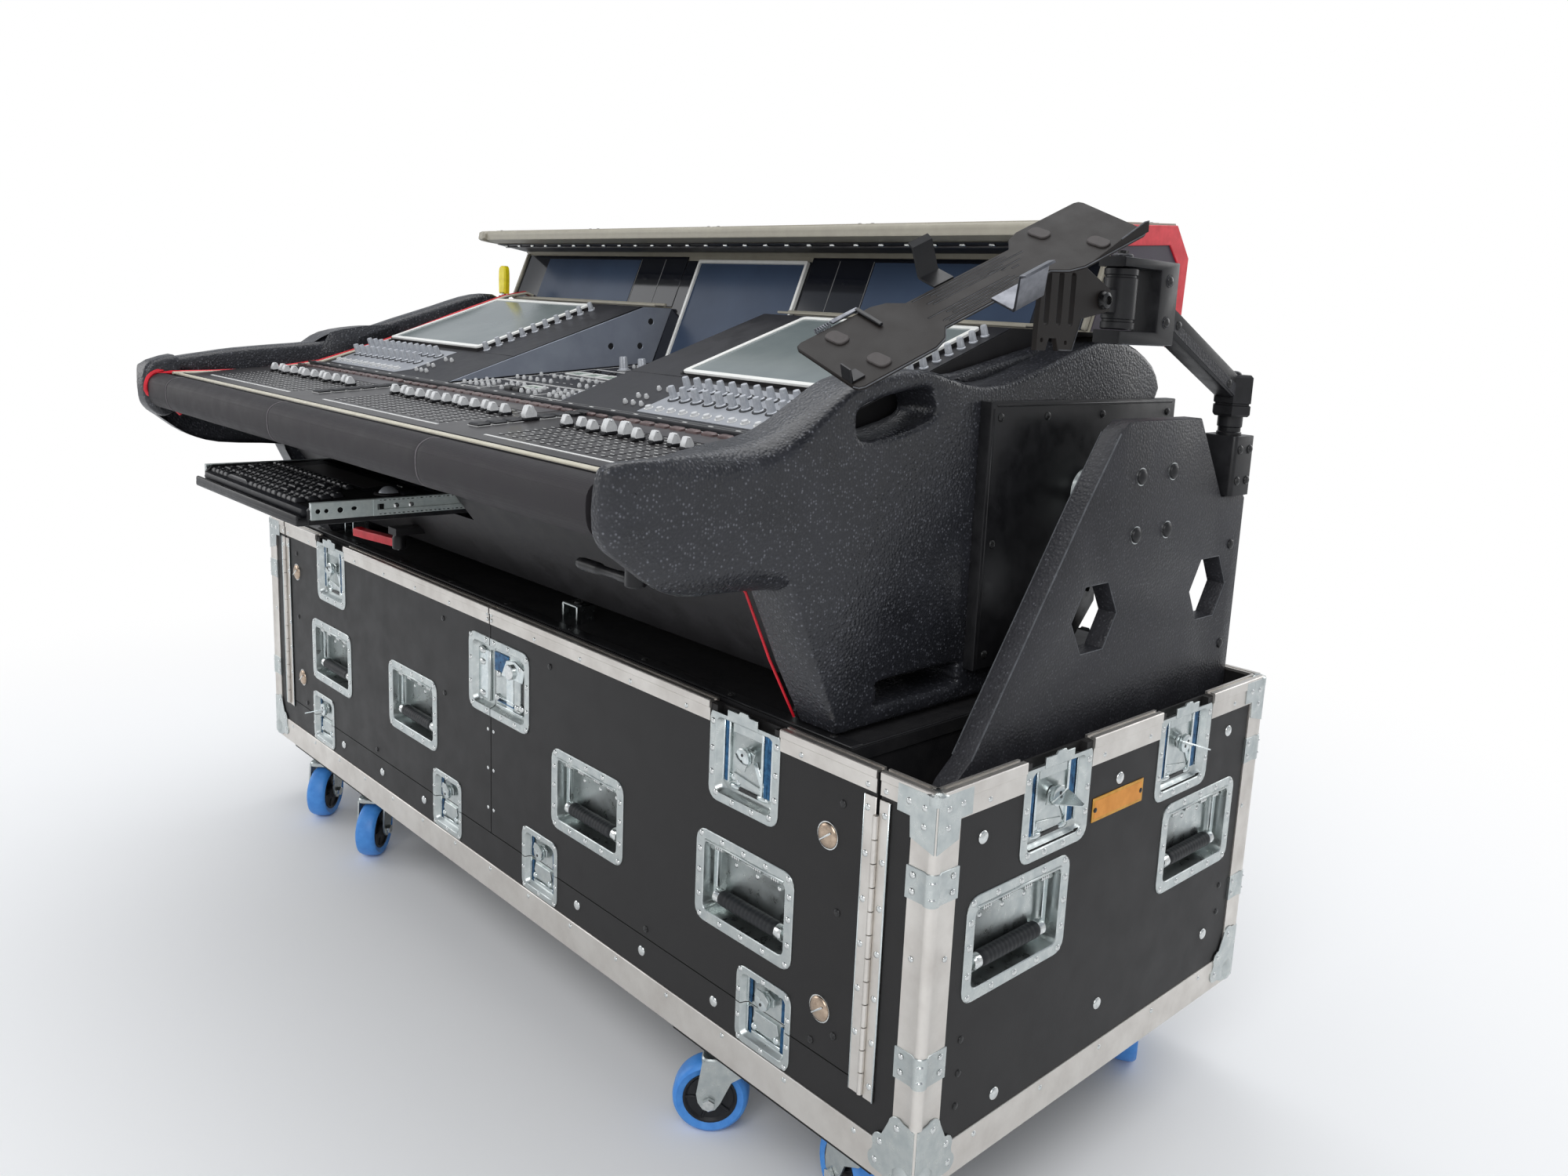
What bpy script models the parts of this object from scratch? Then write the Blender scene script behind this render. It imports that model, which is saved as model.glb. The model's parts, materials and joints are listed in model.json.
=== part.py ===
"""Mixer flip case: a wheeled flight case with a five-screen mixing console on flip arms.

Metres, +Z up, +X towards the right-hand end, the front doors face -Y.
The origin is on the floor, under the middle of the whole outline.
"""
import math

import bpy
import bmesh
from mathutils import Matrix, Vector

# Driving dimensions of the case
CASE_LENGTH = 1.800
CASE_DEPTH = 0.688
CASE_BOTTOM = 0.142
CASE_TOP = 0.595
WALL = 0.012
GAP = 0.0003
FRONT = -CASE_DEPTH / 2
REAR = CASE_DEPTH / 2
END = CASE_LENGTH / 2
CASE_CENTRE = (-0.0117, 0.1395, 0.0)

# Doors
DOOR_HINGE_X = 0.820
DOOR_HINGE_Y = FRONT - 0.004
DOOR_BOTTOM = 0.2365
SILL_TOP = 0.2350
SEAM = 0.001
HINGE_CLEARANCE = 0.003

# Recessed hardware
HANDLE_POCKET = (0.156, 0.100)
HANDLE_DEPTH = 0.024
DISH_WALL = 0.006
FRONT_HANDLE_Z = 0.3726
FRONT_HANDLE_X = (0.268, 0.6075)
END_HANDLE_Y = 0.194
END_HANDLE_Z = 0.405
LATCH_DEPTH = 0.009
TOP_LATCH = (0.6007, 0.5447)
TOP_LATCH_POCKET = (0.104, 0.120)
TOP_LATCH_POCKET_RISE = 0.0008
END_LATCH = (0.138, 0.549)
CENTRE_LATCH_X = (-0.055, 0.102)
CENTRE_LATCH_Z = (0.438, 0.540)
LOW_LATCH_X = (0.145, 0.652)
LOW_LATCH_POCKET = (0.082, 0.082)
LOW_WING_RISE = 0.0205
WING_REACH = 0.019

# Deck, arms and pivot
DECK_TOP = 0.598
DECK_BOARD = 0.015
DECK_HALF = 0.760
DECK_FRONT = -0.327
DECK_REAR = 0.330
ARM_INNER = 0.820
ARM_OUTER = 0.850
PIVOT = (0.0925, 0.8525)
STUB_RADIUS = 0.0180
BORE_RADIUS = 0.0186
HUB_INNER = 0.790
BRACKET_INNER = 0.7285
BRACKET_OUTER = 0.745

# Console
CONSOLE_HALF = 0.6545
CONSOLE_WALL = 0.006
CENTRE_HALF = 0.165
NOSE_SLOT_HALF = 0.560
NOSE_SLOT_Y = (-0.468, -0.416)
BUMPER_INNER = 0.655
BUMPER_OUTER = 0.728
SHEET_TOP = 1.055
BREAK = (-0.335, 0.920)
SLOPE_TOP = (0.035, SHEET_TOP)
NOSE_FRONT = -0.585
NOSE_FRONT_BOTTOM = 0.845
NOSE_BOTTOM = 0.795
NOSE_SLOT_Z = (0.790, 0.830)

# Keyboard drawer under the left half of the console
DRAWER_X = (-0.484, -0.060)
DRAWER_Y = (-0.600, -0.330)
DRAWER_Z = 0.734
DRAWER_BOARD = 0.010
DRAWER_WINDOW_Y = (-0.420, -0.262)
DRAWER_WINDOW_Z = (0.726, 0.789)
DRAWER_WINDOW_MARGIN = 0.018
FLANGE_SETBACK = 0.015
SLIDE_REAR = -0.215
SLIDE_Z = (0.7535, 0.7665)
RUNNER_Y = (-0.260, -0.020)
RUNNER_FOOT = 0.6385
RUNNER_LIP = 0.003
TRACKBALL_RADIUS = 0.015

# Levers and plunger under and beside the console
LOCK_PIVOT = (-0.330, -0.335)
LOCK_LEVER_TOP = 0.655
LOCK_LEVER_BOTTOM = 0.630
LOCK_LUG = (0.030, 0.012)
RELEASE_PIVOT = (0.585, -0.490)
RELEASE_LEVER_BOTTOM = 0.765
RELEASE_LUG = (0.030, 0.030)
PLUNGER = (-0.675, 0.048)
PLUNGER_BOTTOM = 1.025

# Casters
WHEEL_RADIUS = 0.050
WHEEL_WIDTH = 0.036
CASTER_TRAIL = 0.038
CASTER_X = (0.545, 0.778)
CASTER_Y = 0.282
BOARD_TOP = CASE_BOTTOM - GAP
BOARD_BOTTOM = 0.127
AXLE_RADIUS = 0.005

# Tablet arm at the right rear
POST_X = 0.834
POST_Y = 0.292
POST_RADIUS = 0.0165
POST_BOTTOM = 0.8605
SOCKET_RADIUS = 0.0172
SOCKET_HALF = 0.026
SOCKET_Z = (0.8493, 0.930)
COLLAR_Z = (0.955, 1.010)
KNUCKLE = (0.840, -0.012)
TILT_AXIS = (-0.066, 1.092)
TRAY_FRONT_RIGHT = Vector((0.850, -0.437, 0.995))
TRAY_REAR_RIGHT = Vector((0.925, -0.098, 1.163))
TRAY_FRONT_LEFT = Vector((0.755, -0.433, 1.029))
TRAY_THICKNESS = 0.008

for leftover in list(bpy.data.objects):
    bpy.data.objects.remove(leftover, do_unlink=True)

caseCentre = bpy.data.objects.new("case_centre", None)
caseCentre.location = CASE_CENTRE
bpy.context.collection.objects.link(caseCentre)


def material(name, colour, roughness, metallic=0.0):
    made = bpy.data.materials.new(name)
    made.use_nodes = True
    shader = made.node_tree.nodes["Principled BSDF"]
    shader.inputs["Base Color"].default_value = (*colour, 1.0)
    shader.inputs["Roughness"].default_value = roughness
    shader.inputs["Metallic"].default_value = metallic
    made.diffuse_color = (*colour, 1.0)
    return made


def add_object(name, shape, finish, origin=(0.0, 0.0, 0.0), sharp=35.0):
    """Link a mesh whose coordinates are about the case centre; its own origin goes to `origin`."""
    bmesh.ops.recalc_face_normals(shape, faces=shape.faces)
    bmesh.ops.translate(shape, verts=shape.verts, vec=-Vector(origin))
    mesh = bpy.data.meshes.new(name)
    shape.to_mesh(mesh)
    shape.free()
    mesh.shade_smooth()
    mesh.set_sharp_from_angle(angle=math.radians(sharp))
    made = bpy.data.objects.new(name, mesh)
    bpy.context.collection.objects.link(made)
    made.parent = caseCentre
    made.location = origin
    made.data.materials.append(material(name, *finish))
    return made


def box(low, high, shape=None):
    shape = shape or bmesh.new()
    centre = (Vector(low) + Vector(high)) / 2
    size = Vector(high) - Vector(low)
    matrix = Matrix.Translation(centre) @ Matrix.Diagonal((*size, 1.0))
    bmesh.ops.create_cube(shape, size=1.0, matrix=matrix)
    return shape


def prism(outline, low, high, axis="x", shape=None):
    """Extrude a flat outline along an axis: (y, z) along x, (x, z) along y, (x, y) along z."""
    shape = shape or bmesh.new()
    spot = {
        "x": lambda a, b: (low, a, b),
        "y": lambda a, b: (a, low, b),
        "z": lambda a, b: (a, b, low),
    }[axis]
    along = {"x": Vector((1, 0, 0)), "y": Vector((0, 1, 0)), "z": Vector((0, 0, 1))}[axis]
    corners = [shape.verts.new(spot(a, b)) for a, b in outline]
    face = shape.faces.new(corners)
    swept = bmesh.ops.extrude_face_region(shape, geom=[face])
    moved = [item for item in swept["geom"] if isinstance(item, bmesh.types.BMVert)]
    bmesh.ops.translate(shape, verts=moved, vec=along * (high - low))
    return shape


def cylinder(centre, radius, length, axis="z", sides=24, shape=None):
    shape = shape or bmesh.new()
    turn = {
        "x": Matrix.Rotation(math.radians(90), 4, "Y"),
        "y": Matrix.Rotation(math.radians(90), 4, "X"),
        "z": Matrix.Identity(4),
    }[axis]
    bmesh.ops.create_cone(shape, cap_ends=True, segments=sides, radius1=radius, radius2=radius,
                          depth=length, matrix=Matrix.Translation(centre) @ turn)
    return shape


def rounded_rectangle(centre, size, radius, steps=2):
    points = []
    for quarter in range(4):
        side_x = 1 if quarter in (0, 3) else -1
        side_y = 1 if quarter in (0, 1) else -1
        middle_x = centre[0] + side_x * (size[0] / 2 - radius)
        middle_y = centre[1] + side_y * (size[1] / 2 - radius)
        for step in range(steps + 1):
            angle = math.radians(90 * quarter + 90 * step / steps)
            points.append((middle_x + radius * math.cos(angle), middle_y + radius * math.sin(angle)))
    return points


def regular_polygon(centre, radius, sides, start=0.0):
    angles = [start + 2 * math.pi * step / sides for step in range(sides)]
    return [(centre[0] + radius * math.cos(a), centre[1] + radius * math.sin(a)) for a in angles]


def combine(target, shape, operation="DIFFERENCE"):
    """Cut the shape out of the target, or join it on, with a live Boolean."""
    bmesh.ops.recalc_face_normals(shape, faces=shape.faces)
    count = len(target.modifiers) + 1
    tool_name = "tool_%s_%d" % (target.name, count)
    mesh = bpy.data.meshes.new(tool_name)
    bmesh.ops.translate(shape, verts=shape.verts, vec=-Vector(target.location))
    shape.to_mesh(mesh)
    shape.free()
    tool = bpy.data.objects.new(tool_name, mesh)
    bpy.context.collection.objects.link(tool)
    tool.parent = caseCentre
    tool.location = target.location
    tool.hide_render = True
    tool.display_type = "WIRE"
    step = target.modifiers.new("%s %d" % (operation.lower(), count), "BOOLEAN")
    step.operation = operation
    step.solver = "EXACT"
    step.object = tool


def soften(target, width, segments=2, angle=50.0):
    step = target.modifiers.new("rounded edges", "BEVEL")
    step.width = width
    step.segments = segments
    step.limit_method = "ANGLE"
    step.angle_limit = math.radians(angle)


def mirrored(outline, side):
    return [(side * a, b) for a, b in outline]


# Finishes: colour, roughness, metallic
laminate = ((0.025, 0.023, 0.023), 0.55)
plywood = ((0.035, 0.035, 0.037), 0.60)
zinc = ((0.60, 0.63, 0.62), 0.30, 1.0)
steel = ((0.50, 0.52, 0.53), 0.35, 1.0)
black_metal = ((0.020, 0.020, 0.022), 0.45, 0.3)
console_grey = ((0.045, 0.046, 0.050), 0.50)
moulded_black = ((0.026, 0.027, 0.031), 0.50)
leatherette = ((0.055, 0.050, 0.052), 0.60)
stone = ((0.300, 0.280, 0.220), 0.50)
screen_dark = ((0.030, 0.040, 0.055), 0.20)
tyre_blue = ((0.060, 0.250, 0.700), 0.45)
red_plastic = ((0.750, 0.012, 0.040), 0.40)
yellow_plastic = ((0.800, 0.650, 0.010), 0.45)


def end_wall_dishes(side, depth, grow):
    """The boxes behind both handle dishes of one end wall."""
    shape = bmesh.new()
    size = (HANDLE_POCKET[0] + 2 * grow, HANDLE_POCKET[1] + 2 * grow)
    face = side * (END + (0.0 if grow else 0.002))
    inner = side * (END - depth)
    for y in (-END_HANDLE_Y, END_HANDLE_Y):
        outline = rounded_rectangle((y, END_HANDLE_Z), size, 0.012)
        prism(outline, min(face, inner), max(face, inner), "x", shape)
    return shape


def make_case_shell():
    shell = add_object("case_shell", box((-END, FRONT, CASE_BOTTOM), (END, REAR, CASE_TOP)), laminate)
    inside = box((-END + WALL, FRONT + WALL, CASE_BOTTOM + WALL), (END - WALL, REAR - WALL, CASE_TOP + 0.02))
    combine(shell, inside)
    post = DOOR_HINGE_X + HINGE_CLEARANCE
    doorway = box((-post, FRONT - 0.02, SILL_TOP), (post, FRONT + 2 * WALL, CASE_TOP + 0.02))
    combine(shell, doorway)
    for side in (-1, 1):
        combine(shell, end_wall_dishes(side, HANDLE_DEPTH + DISH_WALL, DISH_WALL), "UNION")
        combine(shell, end_wall_dishes(side, HANDLE_DEPTH, 0.0))
    sill_pockets = bmesh.new()
    for x in LOW_LATCH_X:
        for side in (-1, 1):
            outline = rounded_rectangle((side * x, SILL_TOP), LOW_LATCH_POCKET, 0.010)
            prism(outline, FRONT - 0.002, FRONT + LATCH_DEPTH, "y", sill_pockets)
    combine(shell, sill_pockets)
    rim_pockets = bmesh.new()
    for side in (-1, 1):
        for y in (-END_LATCH[0], END_LATCH[0]):
            low, high = sorted((side * (END - LATCH_DEPTH), side * (END + 0.002)))
            outline = rounded_rectangle((y, END_LATCH[1] + TOP_LATCH_POCKET_RISE), TOP_LATCH_POCKET, 0.010)
            prism(outline, low, high, "x", rim_pockets)
        centre = (side * TOP_LATCH[0], TOP_LATCH[1] + TOP_LATCH_POCKET_RISE)
        prism(rounded_rectangle(centre, TOP_LATCH_POCKET, 0.010), REAR - LATCH_DEPTH, REAR + 0.002, "y", rim_pockets)
    combine(shell, rim_pockets)


def make_door(name, side):
    near = side * SEAM
    far = side * (DOOR_HINGE_X - HINGE_CLEARANCE)
    panel = box((min(near, far), FRONT, DOOR_BOTTOM), (max(near, far), FRONT + WALL, CASE_TOP))
    door = add_object(name, panel, laminate, (side * DOOR_HINGE_X, DOOR_HINGE_Y, DOOR_BOTTOM))
    blocks = bmesh.new()
    pockets = bmesh.new()
    grown = (HANDLE_POCKET[0] + 2 * DISH_WALL, HANDLE_POCKET[1] + 2 * DISH_WALL)
    for x in FRONT_HANDLE_X:
        centre = (side * x, FRONT_HANDLE_Z)
        back = FRONT + HANDLE_DEPTH
        prism(rounded_rectangle(centre, grown, 0.014), FRONT + WALL / 2, back + DISH_WALL, "y", blocks)
        prism(rounded_rectangle(centre, HANDLE_POCKET, 0.012), FRONT - 0.002, back, "y", pockets)
    flat_pockets = [((side * TOP_LATCH[0], TOP_LATCH[1] + TOP_LATCH_POCKET_RISE), TOP_LATCH_POCKET)]
    flat_pockets += [((side * x, DOOR_BOTTOM), LOW_LATCH_POCKET) for x in LOW_LATCH_X]
    for centre, size in flat_pockets:
        prism(rounded_rectangle(centre, size, 0.010), FRONT - 0.002, FRONT + LATCH_DEPTH, "y", pockets)
    combine(door, blocks, "UNION")
    combine(door, pockets)
    reach = CENTRE_LATCH_X[0] if side < 0 else CENTRE_LATCH_X[1]
    low, high = sorted((reach, -side * 0.002))
    combine(door, box((low, FRONT - 0.002, CENTRE_LATCH_Z[0]), (high, FRONT + LATCH_DEPTH, CENTRE_LATCH_Z[1])))


def make_wing(name, x, z):
    """A two-lobed turn key on a round hub, standing in its shallow dish."""
    floor = FRONT + LATCH_DEPTH - GAP
    hub = cylinder((x, floor - 0.0040, z), 0.0090, 0.0080, "y", 16)
    wing = add_object(name, hub, zinc, (x, floor, z))
    lobe = prism(rounded_rectangle((x, z), (2 * WING_REACH, 0.012), 0.005), floor - 0.0072, floor - 0.0035, "y")
    combine(wing, lobe, "UNION")


def make_bail(name, centre, along, outward):
    """A sprung wire bail with a fat rubber grip; its ends turn in the dish's side walls."""
    along = Vector(along)
    outward = Vector(outward)
    up = Vector((0, 0, 1))
    pivot_z = 0.034
    pivot = Vector(centre) - outward * (HANDLE_DEPTH / 2) + up * pivot_z
    wire = 0.0036
    grip = 0.0100
    half_arm = 0.0655
    half_grip = 0.0530
    drop = pivot_z + 0.026
    end = HANDLE_POCKET[0] / 2 - 0.0006
    turn = 0.006
    half = [
        (end, 0.0, wire),
        (half_arm + turn, 0.0, wire),
        (half_arm + turn * 0.3, -turn * 0.3, wire),
        (half_arm, -turn, wire),
        (half_arm, -drop + turn, wire),
        (half_arm - turn * 0.3, -drop + turn * 0.3, wire),
        (half_arm - turn, -drop, wire),
        (half_grip, -drop, wire),
        (half_grip - 0.001, -drop, grip),
    ]
    path = [(-a, z, r) for a, z, r in half] + [(a, z, r) for a, z, r in reversed(half)]
    curve = bpy.data.curves.new(name, "CURVE")
    curve.dimensions = "3D"
    curve.bevel_depth = 1.0
    curve.bevel_resolution = 1
    curve.render_resolution_u = 0
    curve.use_fill_caps = True
    spline = curve.splines.new("POLY")
    spline.points.add(len(path) - 1)
    for point, (a, z, radius) in zip(spline.points, path):
        spot = along * a + up * z
        point.co = (*spot, 1.0)
        point.radius = radius
    bail = bpy.data.objects.new(name, curve)
    bpy.context.collection.objects.link(bail)
    bail.parent = caseCentre
    bail.location = pivot
    curve.materials.append(material(name, *moulded_black))


def make_deck_box():
    """Deck board on a carcass with two front bays."""
    low = CASE_BOTTOM + WALL + GAP
    wall = WALL
    half = DECK_HALF - 0.003
    front = DECK_FRONT + 0.017
    rear = DECK_REAR - 0.003
    under = DECK_TOP - DECK_BOARD
    deck = add_object("deck_box", box((-half, front, low), (half, rear, DECK_TOP - 0.004)), plywood)
    bays = bmesh.new()
    for side in (-1, 1):
        inner = side * wall / 2
        outer = side * (half - wall)
        box((min(inner, outer), front - 0.02, low + wall), (max(inner, outer), rear - wall, under), bays)
    combine(deck, bays)
    combine(deck, box((-DECK_HALF, DECK_FRONT, under), (DECK_HALF, DECK_REAR, DECK_TOP)), "UNION")


def make_caster_board(name, side):
    inner = 0.448
    outer = 0.851
    slope = 0.020
    outline = [
        (inner, BOARD_TOP), (outer, BOARD_TOP),
        (outer - slope, BOARD_BOTTOM), (inner + slope, BOARD_BOTTOM),
    ]
    add_object(name, prism(mirrored(outline, side), -0.335, 0.335, "y"), plywood)


def make_caster(name, x, y, yaw):
    """A swivel fork whose origin is on the swivel axis, and a wheel whose origin is on the axle."""
    turn = Matrix.Translation((x, y, 0.0)) @ Matrix.Rotation(math.radians(yaw), 4, "Z")
    top = BOARD_BOTTOM - GAP
    crown = WHEEL_RADIUS * 2 + 0.0045
    plate = crown + 0.0080
    race = cylinder((0.0, 0.0, (plate - 0.001 + top) / 2), 0.032, top - plate + 0.001, "z", 20)
    parts = [
        box((-0.030, -0.0270, crown), (0.050, 0.0270, plate)),
        cylinder((CASTER_TRAIL, 0.0, WHEEL_RADIUS), AXLE_RADIUS, 0.060, "y", 12),
    ]
    cheek = [(-0.028, crown + 0.001), (0.048, crown + 0.001), (0.055, 0.060), (0.047, 0.039),
             (0.030, 0.039), (0.018, 0.060)]
    for side in (-1, 1):
        low, high = sorted((side * 0.0225, side * 0.0262))
        parts.append(prism(cheek, low, high, "y"))
    for shape in parts + [race]:
        bmesh.ops.transform(shape, matrix=turn, verts=shape.verts)
    fork = add_object(name + "_fork", race, steel, (x, y, top))
    for shape in parts:
        combine(fork, shape, "UNION")
    half = WHEEL_WIDTH / 2
    bore = AXLE_RADIUS + 0.0012
    profile = [
        (WHEEL_RADIUS - 0.005, half), (WHEEL_RADIUS - 0.0008, half - 0.006), (WHEEL_RADIUS, 0.0),
        (WHEEL_RADIUS - 0.0008, -half + 0.006), (WHEEL_RADIUS - 0.005, -half), (bore, -half), (bore, half),
    ]
    wheel_shape = bmesh.new()
    ring = [wheel_shape.verts.new((radius, across, 0.0)) for radius, across in profile]
    edges = [wheel_shape.edges.new((ring[i], ring[(i + 1) % len(ring)])) for i in range(len(ring))]
    bmesh.ops.spin(wheel_shape, geom=ring + edges, cent=(0, 0, 0), axis=(0, 1, 0),
                   angle=2 * math.pi, steps=24, use_merge=True)
    bmesh.ops.remove_doubles(wheel_shape, verts=wheel_shape.verts, dist=1e-6)
    axle = Matrix.Translation((CASTER_TRAIL, 0.0, WHEEL_RADIUS))
    bmesh.ops.transform(wheel_shape, matrix=turn @ axle, verts=wheel_shape.verts)
    centre = turn @ Vector((CASTER_TRAIL, 0.0, WHEEL_RADIUS))
    add_object(name + "_wheel", wheel_shape, tyre_blue, centre)


def make_arm_plate(name, side):
    """An upright plate with two six-sided hand holes and a seat for the post socket."""
    low = CASE_BOTTOM + WALL + GAP
    outline = [
        (-0.300, low), (-0.300, 0.514), (-0.260, 0.570), (-0.232, 0.592), (-0.054, 0.859),
        (0.005, 0.942), (0.025, 0.955), (0.190, 0.955), (0.262, 0.849), (0.322, 0.849),
        (0.328, 0.843), (0.328, low),
    ]
    inner, outer = sorted((side * ARM_INNER, side * ARM_OUTER))
    arm = add_object(name, prism(outline, inner, outer), plywood)
    hand_holes = bmesh.new()
    for centre in ((-0.017, 0.7205), (0.250, 0.725)):
        prism(regular_polygon(centre, 0.047, 6), inner - 0.01, outer + 0.01, "x", hand_holes)
    combine(arm, hand_holes)


def make_pivot_hub(name, side):
    inner, outer = sorted((side * HUB_INNER, side * (ARM_INNER - GAP)))
    hub = add_object(name, prism(rounded_rectangle(PIVOT, (0.100, 0.100), 0.008), inner, outer), steel)
    centre = ((inner + outer) / 2, *PIVOT)
    combine(hub, cylinder(centre, BORE_RADIUS, 0.060, "x", 32))


def make_pivot_bracket(name, side):
    """A plate on the console's side whose stub shaft turns in the hub."""
    outline = [
        (-0.110, 0.645), (0.090, 0.645), (0.140, 0.700), (0.140, 0.900),
        (0.300, 0.900), (0.300, 0.970), (-0.110, 0.970),
    ]
    inner, outer = sorted((side * BRACKET_INNER, side * BRACKET_OUTER))
    bracket = add_object(name, prism(outline, inner, outer), black_metal, (side * BRACKET_OUTER, *PIVOT))
    start = BRACKET_OUTER - 0.004
    finish = ARM_INNER - 0.004
    centre = (side * (start + finish) / 2, *PIVOT)
    combine(bracket, cylinder(centre, STUB_RADIUS, finish - start, "x", 24), "UNION")


def make_chassis():
    """A sheet-metal tub: fader plane, sloped control banks and a lower centre bay."""
    outline = [
        (NOSE_FRONT, NOSE_FRONT_BOTTOM), (NOSE_FRONT, 0.900), BREAK, SLOPE_TOP, (0.290, SHEET_TOP), (0.305, 1.040),
        (0.270, 0.930), (0.165, 0.632), (-0.278, 0.632), (-0.400, NOSE_BOTTOM),
    ]
    origin = (0.0, *PIVOT)
    chassis = add_object("console_chassis", prism(outline, -CONSOLE_HALF, CONSOLE_HALF), console_grey, origin)
    inner = CONSOLE_HALF - CONSOLE_WALL
    low_cavity = [
        (-0.579, 0.8496), (-0.579, 0.894), (-0.335, 0.9135), (0.050, 0.948), (0.266, 0.948),
        (0.262, 0.930), (0.161, 0.638), (-0.2751, 0.638), (-0.3965, 0.801),
    ]
    combine(chassis, prism(low_cavity, -inner, inner))
    bank_cavity = [(-0.320, 0.900), (-0.320, 0.9180), (0.033, 1.0485), (0.280, 1.0485), (0.258, 0.920)]
    for side in (-1, 1):
        low, high = sorted((side * (CENTRE_HALF + CONSOLE_WALL), side * inner))
        combine(chassis, prism(bank_cavity, low, high))
    centre_bay = [(-0.334, 0.9203), (0.0575, 0.955), (0.099, 1.0575), (0.099, 1.080), (-0.334, 1.080)]
    combine(chassis, prism(centre_bay, -CENTRE_HALF, CENTRE_HALF))
    combine(chassis, box((-inner, 0.130, 0.925), (inner, 0.275, SHEET_TOP + 0.02)))
    window = box((DRAWER_X[0] - DRAWER_WINDOW_MARGIN, DRAWER_WINDOW_Y[0], DRAWER_WINDOW_Z[0]),
                 (DRAWER_X[1] + DRAWER_WINDOW_MARGIN, DRAWER_WINDOW_Y[1], DRAWER_WINDOW_Z[1]))
    combine(chassis, window)
    half, tall = LOCK_LUG[0] / 2, LOCK_LUG[1]
    lug = box((LOCK_PIVOT[0] - half, LOCK_PIVOT[1] - tall, LOCK_LEVER_TOP),
              (LOCK_PIVOT[0] + half, -0.2965, LOCK_LEVER_TOP + tall))
    combine(chassis, lug, "UNION")
    half, deep = RELEASE_LUG[0] / 2, RELEASE_LUG[1] / 2
    x, y = RELEASE_PIVOT
    combine(chassis, box((x - half, y - deep, NOSE_BOTTOM), (x + half, y + deep, 0.826)), "UNION")
    cable_slot = box((-NOSE_SLOT_HALF, NOSE_SLOT_Y[0], NOSE_SLOT_Z[0]),
                     (NOSE_SLOT_HALF, NOSE_SLOT_Y[1], NOSE_SLOT_Z[1]))
    combine(chassis, cable_slot)


def make_bumper(name, side):
    """A moulded end cheek with two hand slots."""
    outline = [
        (-0.601, 0.920), (-0.616, 0.916), (-0.621, 0.906), (-0.621, 0.860), (-0.614, 0.841),
        (-0.599, 0.828), (-0.559, 0.798), (-0.508, 0.781), (-0.407, 0.774), (-0.395, 0.762),
        (-0.357, 0.680), (-0.3156, 0.603), (0.1014, 0.603), (0.284, 0.983), (0.262, 1.015),
        (0.193, 1.044), (0.119, 1.043), (0.005, 1.009), (-0.056, 0.992), (-0.107, 0.988),
        (-0.150, 0.994), (-0.199, 1.004), (-0.250, 1.002), (-0.309, 0.990), (-0.353, 0.966),
        (-0.403, 0.939), (-0.456, 0.927), (-0.541, 0.922),
    ]
    inner, outer = sorted((side * BUMPER_INNER, side * BUMPER_OUTER))
    bumper = add_object(name, prism(outline, inner, outer), moulded_black, (side * BUMPER_OUTER, *PIVOT))
    soften(bumper, 0.008)
    upper_slot = [
        (-0.311, 0.950), (-0.296, 0.969), (-0.212, 0.985), (-0.190, 0.975), (-0.193, 0.950), (-0.293, 0.929),
    ]
    lower_slot = [(-0.257, 0.636), (-0.249, 0.655), (-0.117, 0.655), (-0.117, 0.625), (-0.243, 0.625)]
    slots = bmesh.new()
    for slot in (upper_slot, lower_slot):
        prism(slot, inner - 0.01, outer + 0.01, "x", slots)
    combine(bumper, slots)


def make_armrest():
    back = NOSE_FRONT - GAP
    low = NOSE_FRONT_BOTTOM + 0.001
    outline = [(back, 0.902), (-0.600, 0.905), (-0.614, 0.900), (-0.622, 0.888), (-0.623, 0.868),
               (-0.618, 0.854), (-0.606, low), (back, low)]
    add_object("armrest", prism(outline, -CONSOLE_HALF, CONSOLE_HALF), leatherette, (0.0, back, low))


def make_screen_hood():
    """The bridge that holds the upright screens, open underneath."""
    low = SHEET_TOP + GAP
    outline = [
        (0.0985, low), (0.1355, 1.149), (0.128, 1.158), (0.042, 1.171), (0.034, 1.179),
        (0.037, 1.189), (0.282, 1.207), (0.318, 1.163), (0.312, low),
    ]
    hood = add_object("screen_hood", prism(outline, -BUMPER_OUTER, BUMPER_OUTER), stone, (0.0, *PIVOT))
    inside = [
        (0.1035, low - 0.01), (0.1425, 1.149), (0.136, 1.164), (0.070, 1.175), (0.070, 1.185),
        (0.279, 1.200), (0.311, 1.161), (0.306, low - 0.01),
    ]
    half = BUMPER_OUTER - CONSOLE_WALL
    combine(hood, prism(inside, -half, half))


def slope_matrix(along):
    """Frame on the sloped banks: x across, y up the slope, z out of the panel."""
    rise = math.atan2(SLOPE_TOP[1] - BREAK[1], SLOPE_TOP[0] - BREAK[0])
    spot = Vector((0.0, BREAK[0], BREAK[1]))
    spot += Vector((0.0, math.cos(rise), math.sin(rise))) * along
    return Matrix.Translation(spot) @ Matrix.Rotation(rise, 4, "X")


def make_touch_module(name, side):
    shape = prism(rounded_rectangle((side * 0.455, 0.0), (0.334, 0.232), 0.006), GAP, 0.006, "z")
    bmesh.ops.transform(shape, matrix=slope_matrix(0.250), verts=shape.verts)
    add_object(name, shape, screen_dark, (side * 0.455, *BREAK))


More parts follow.
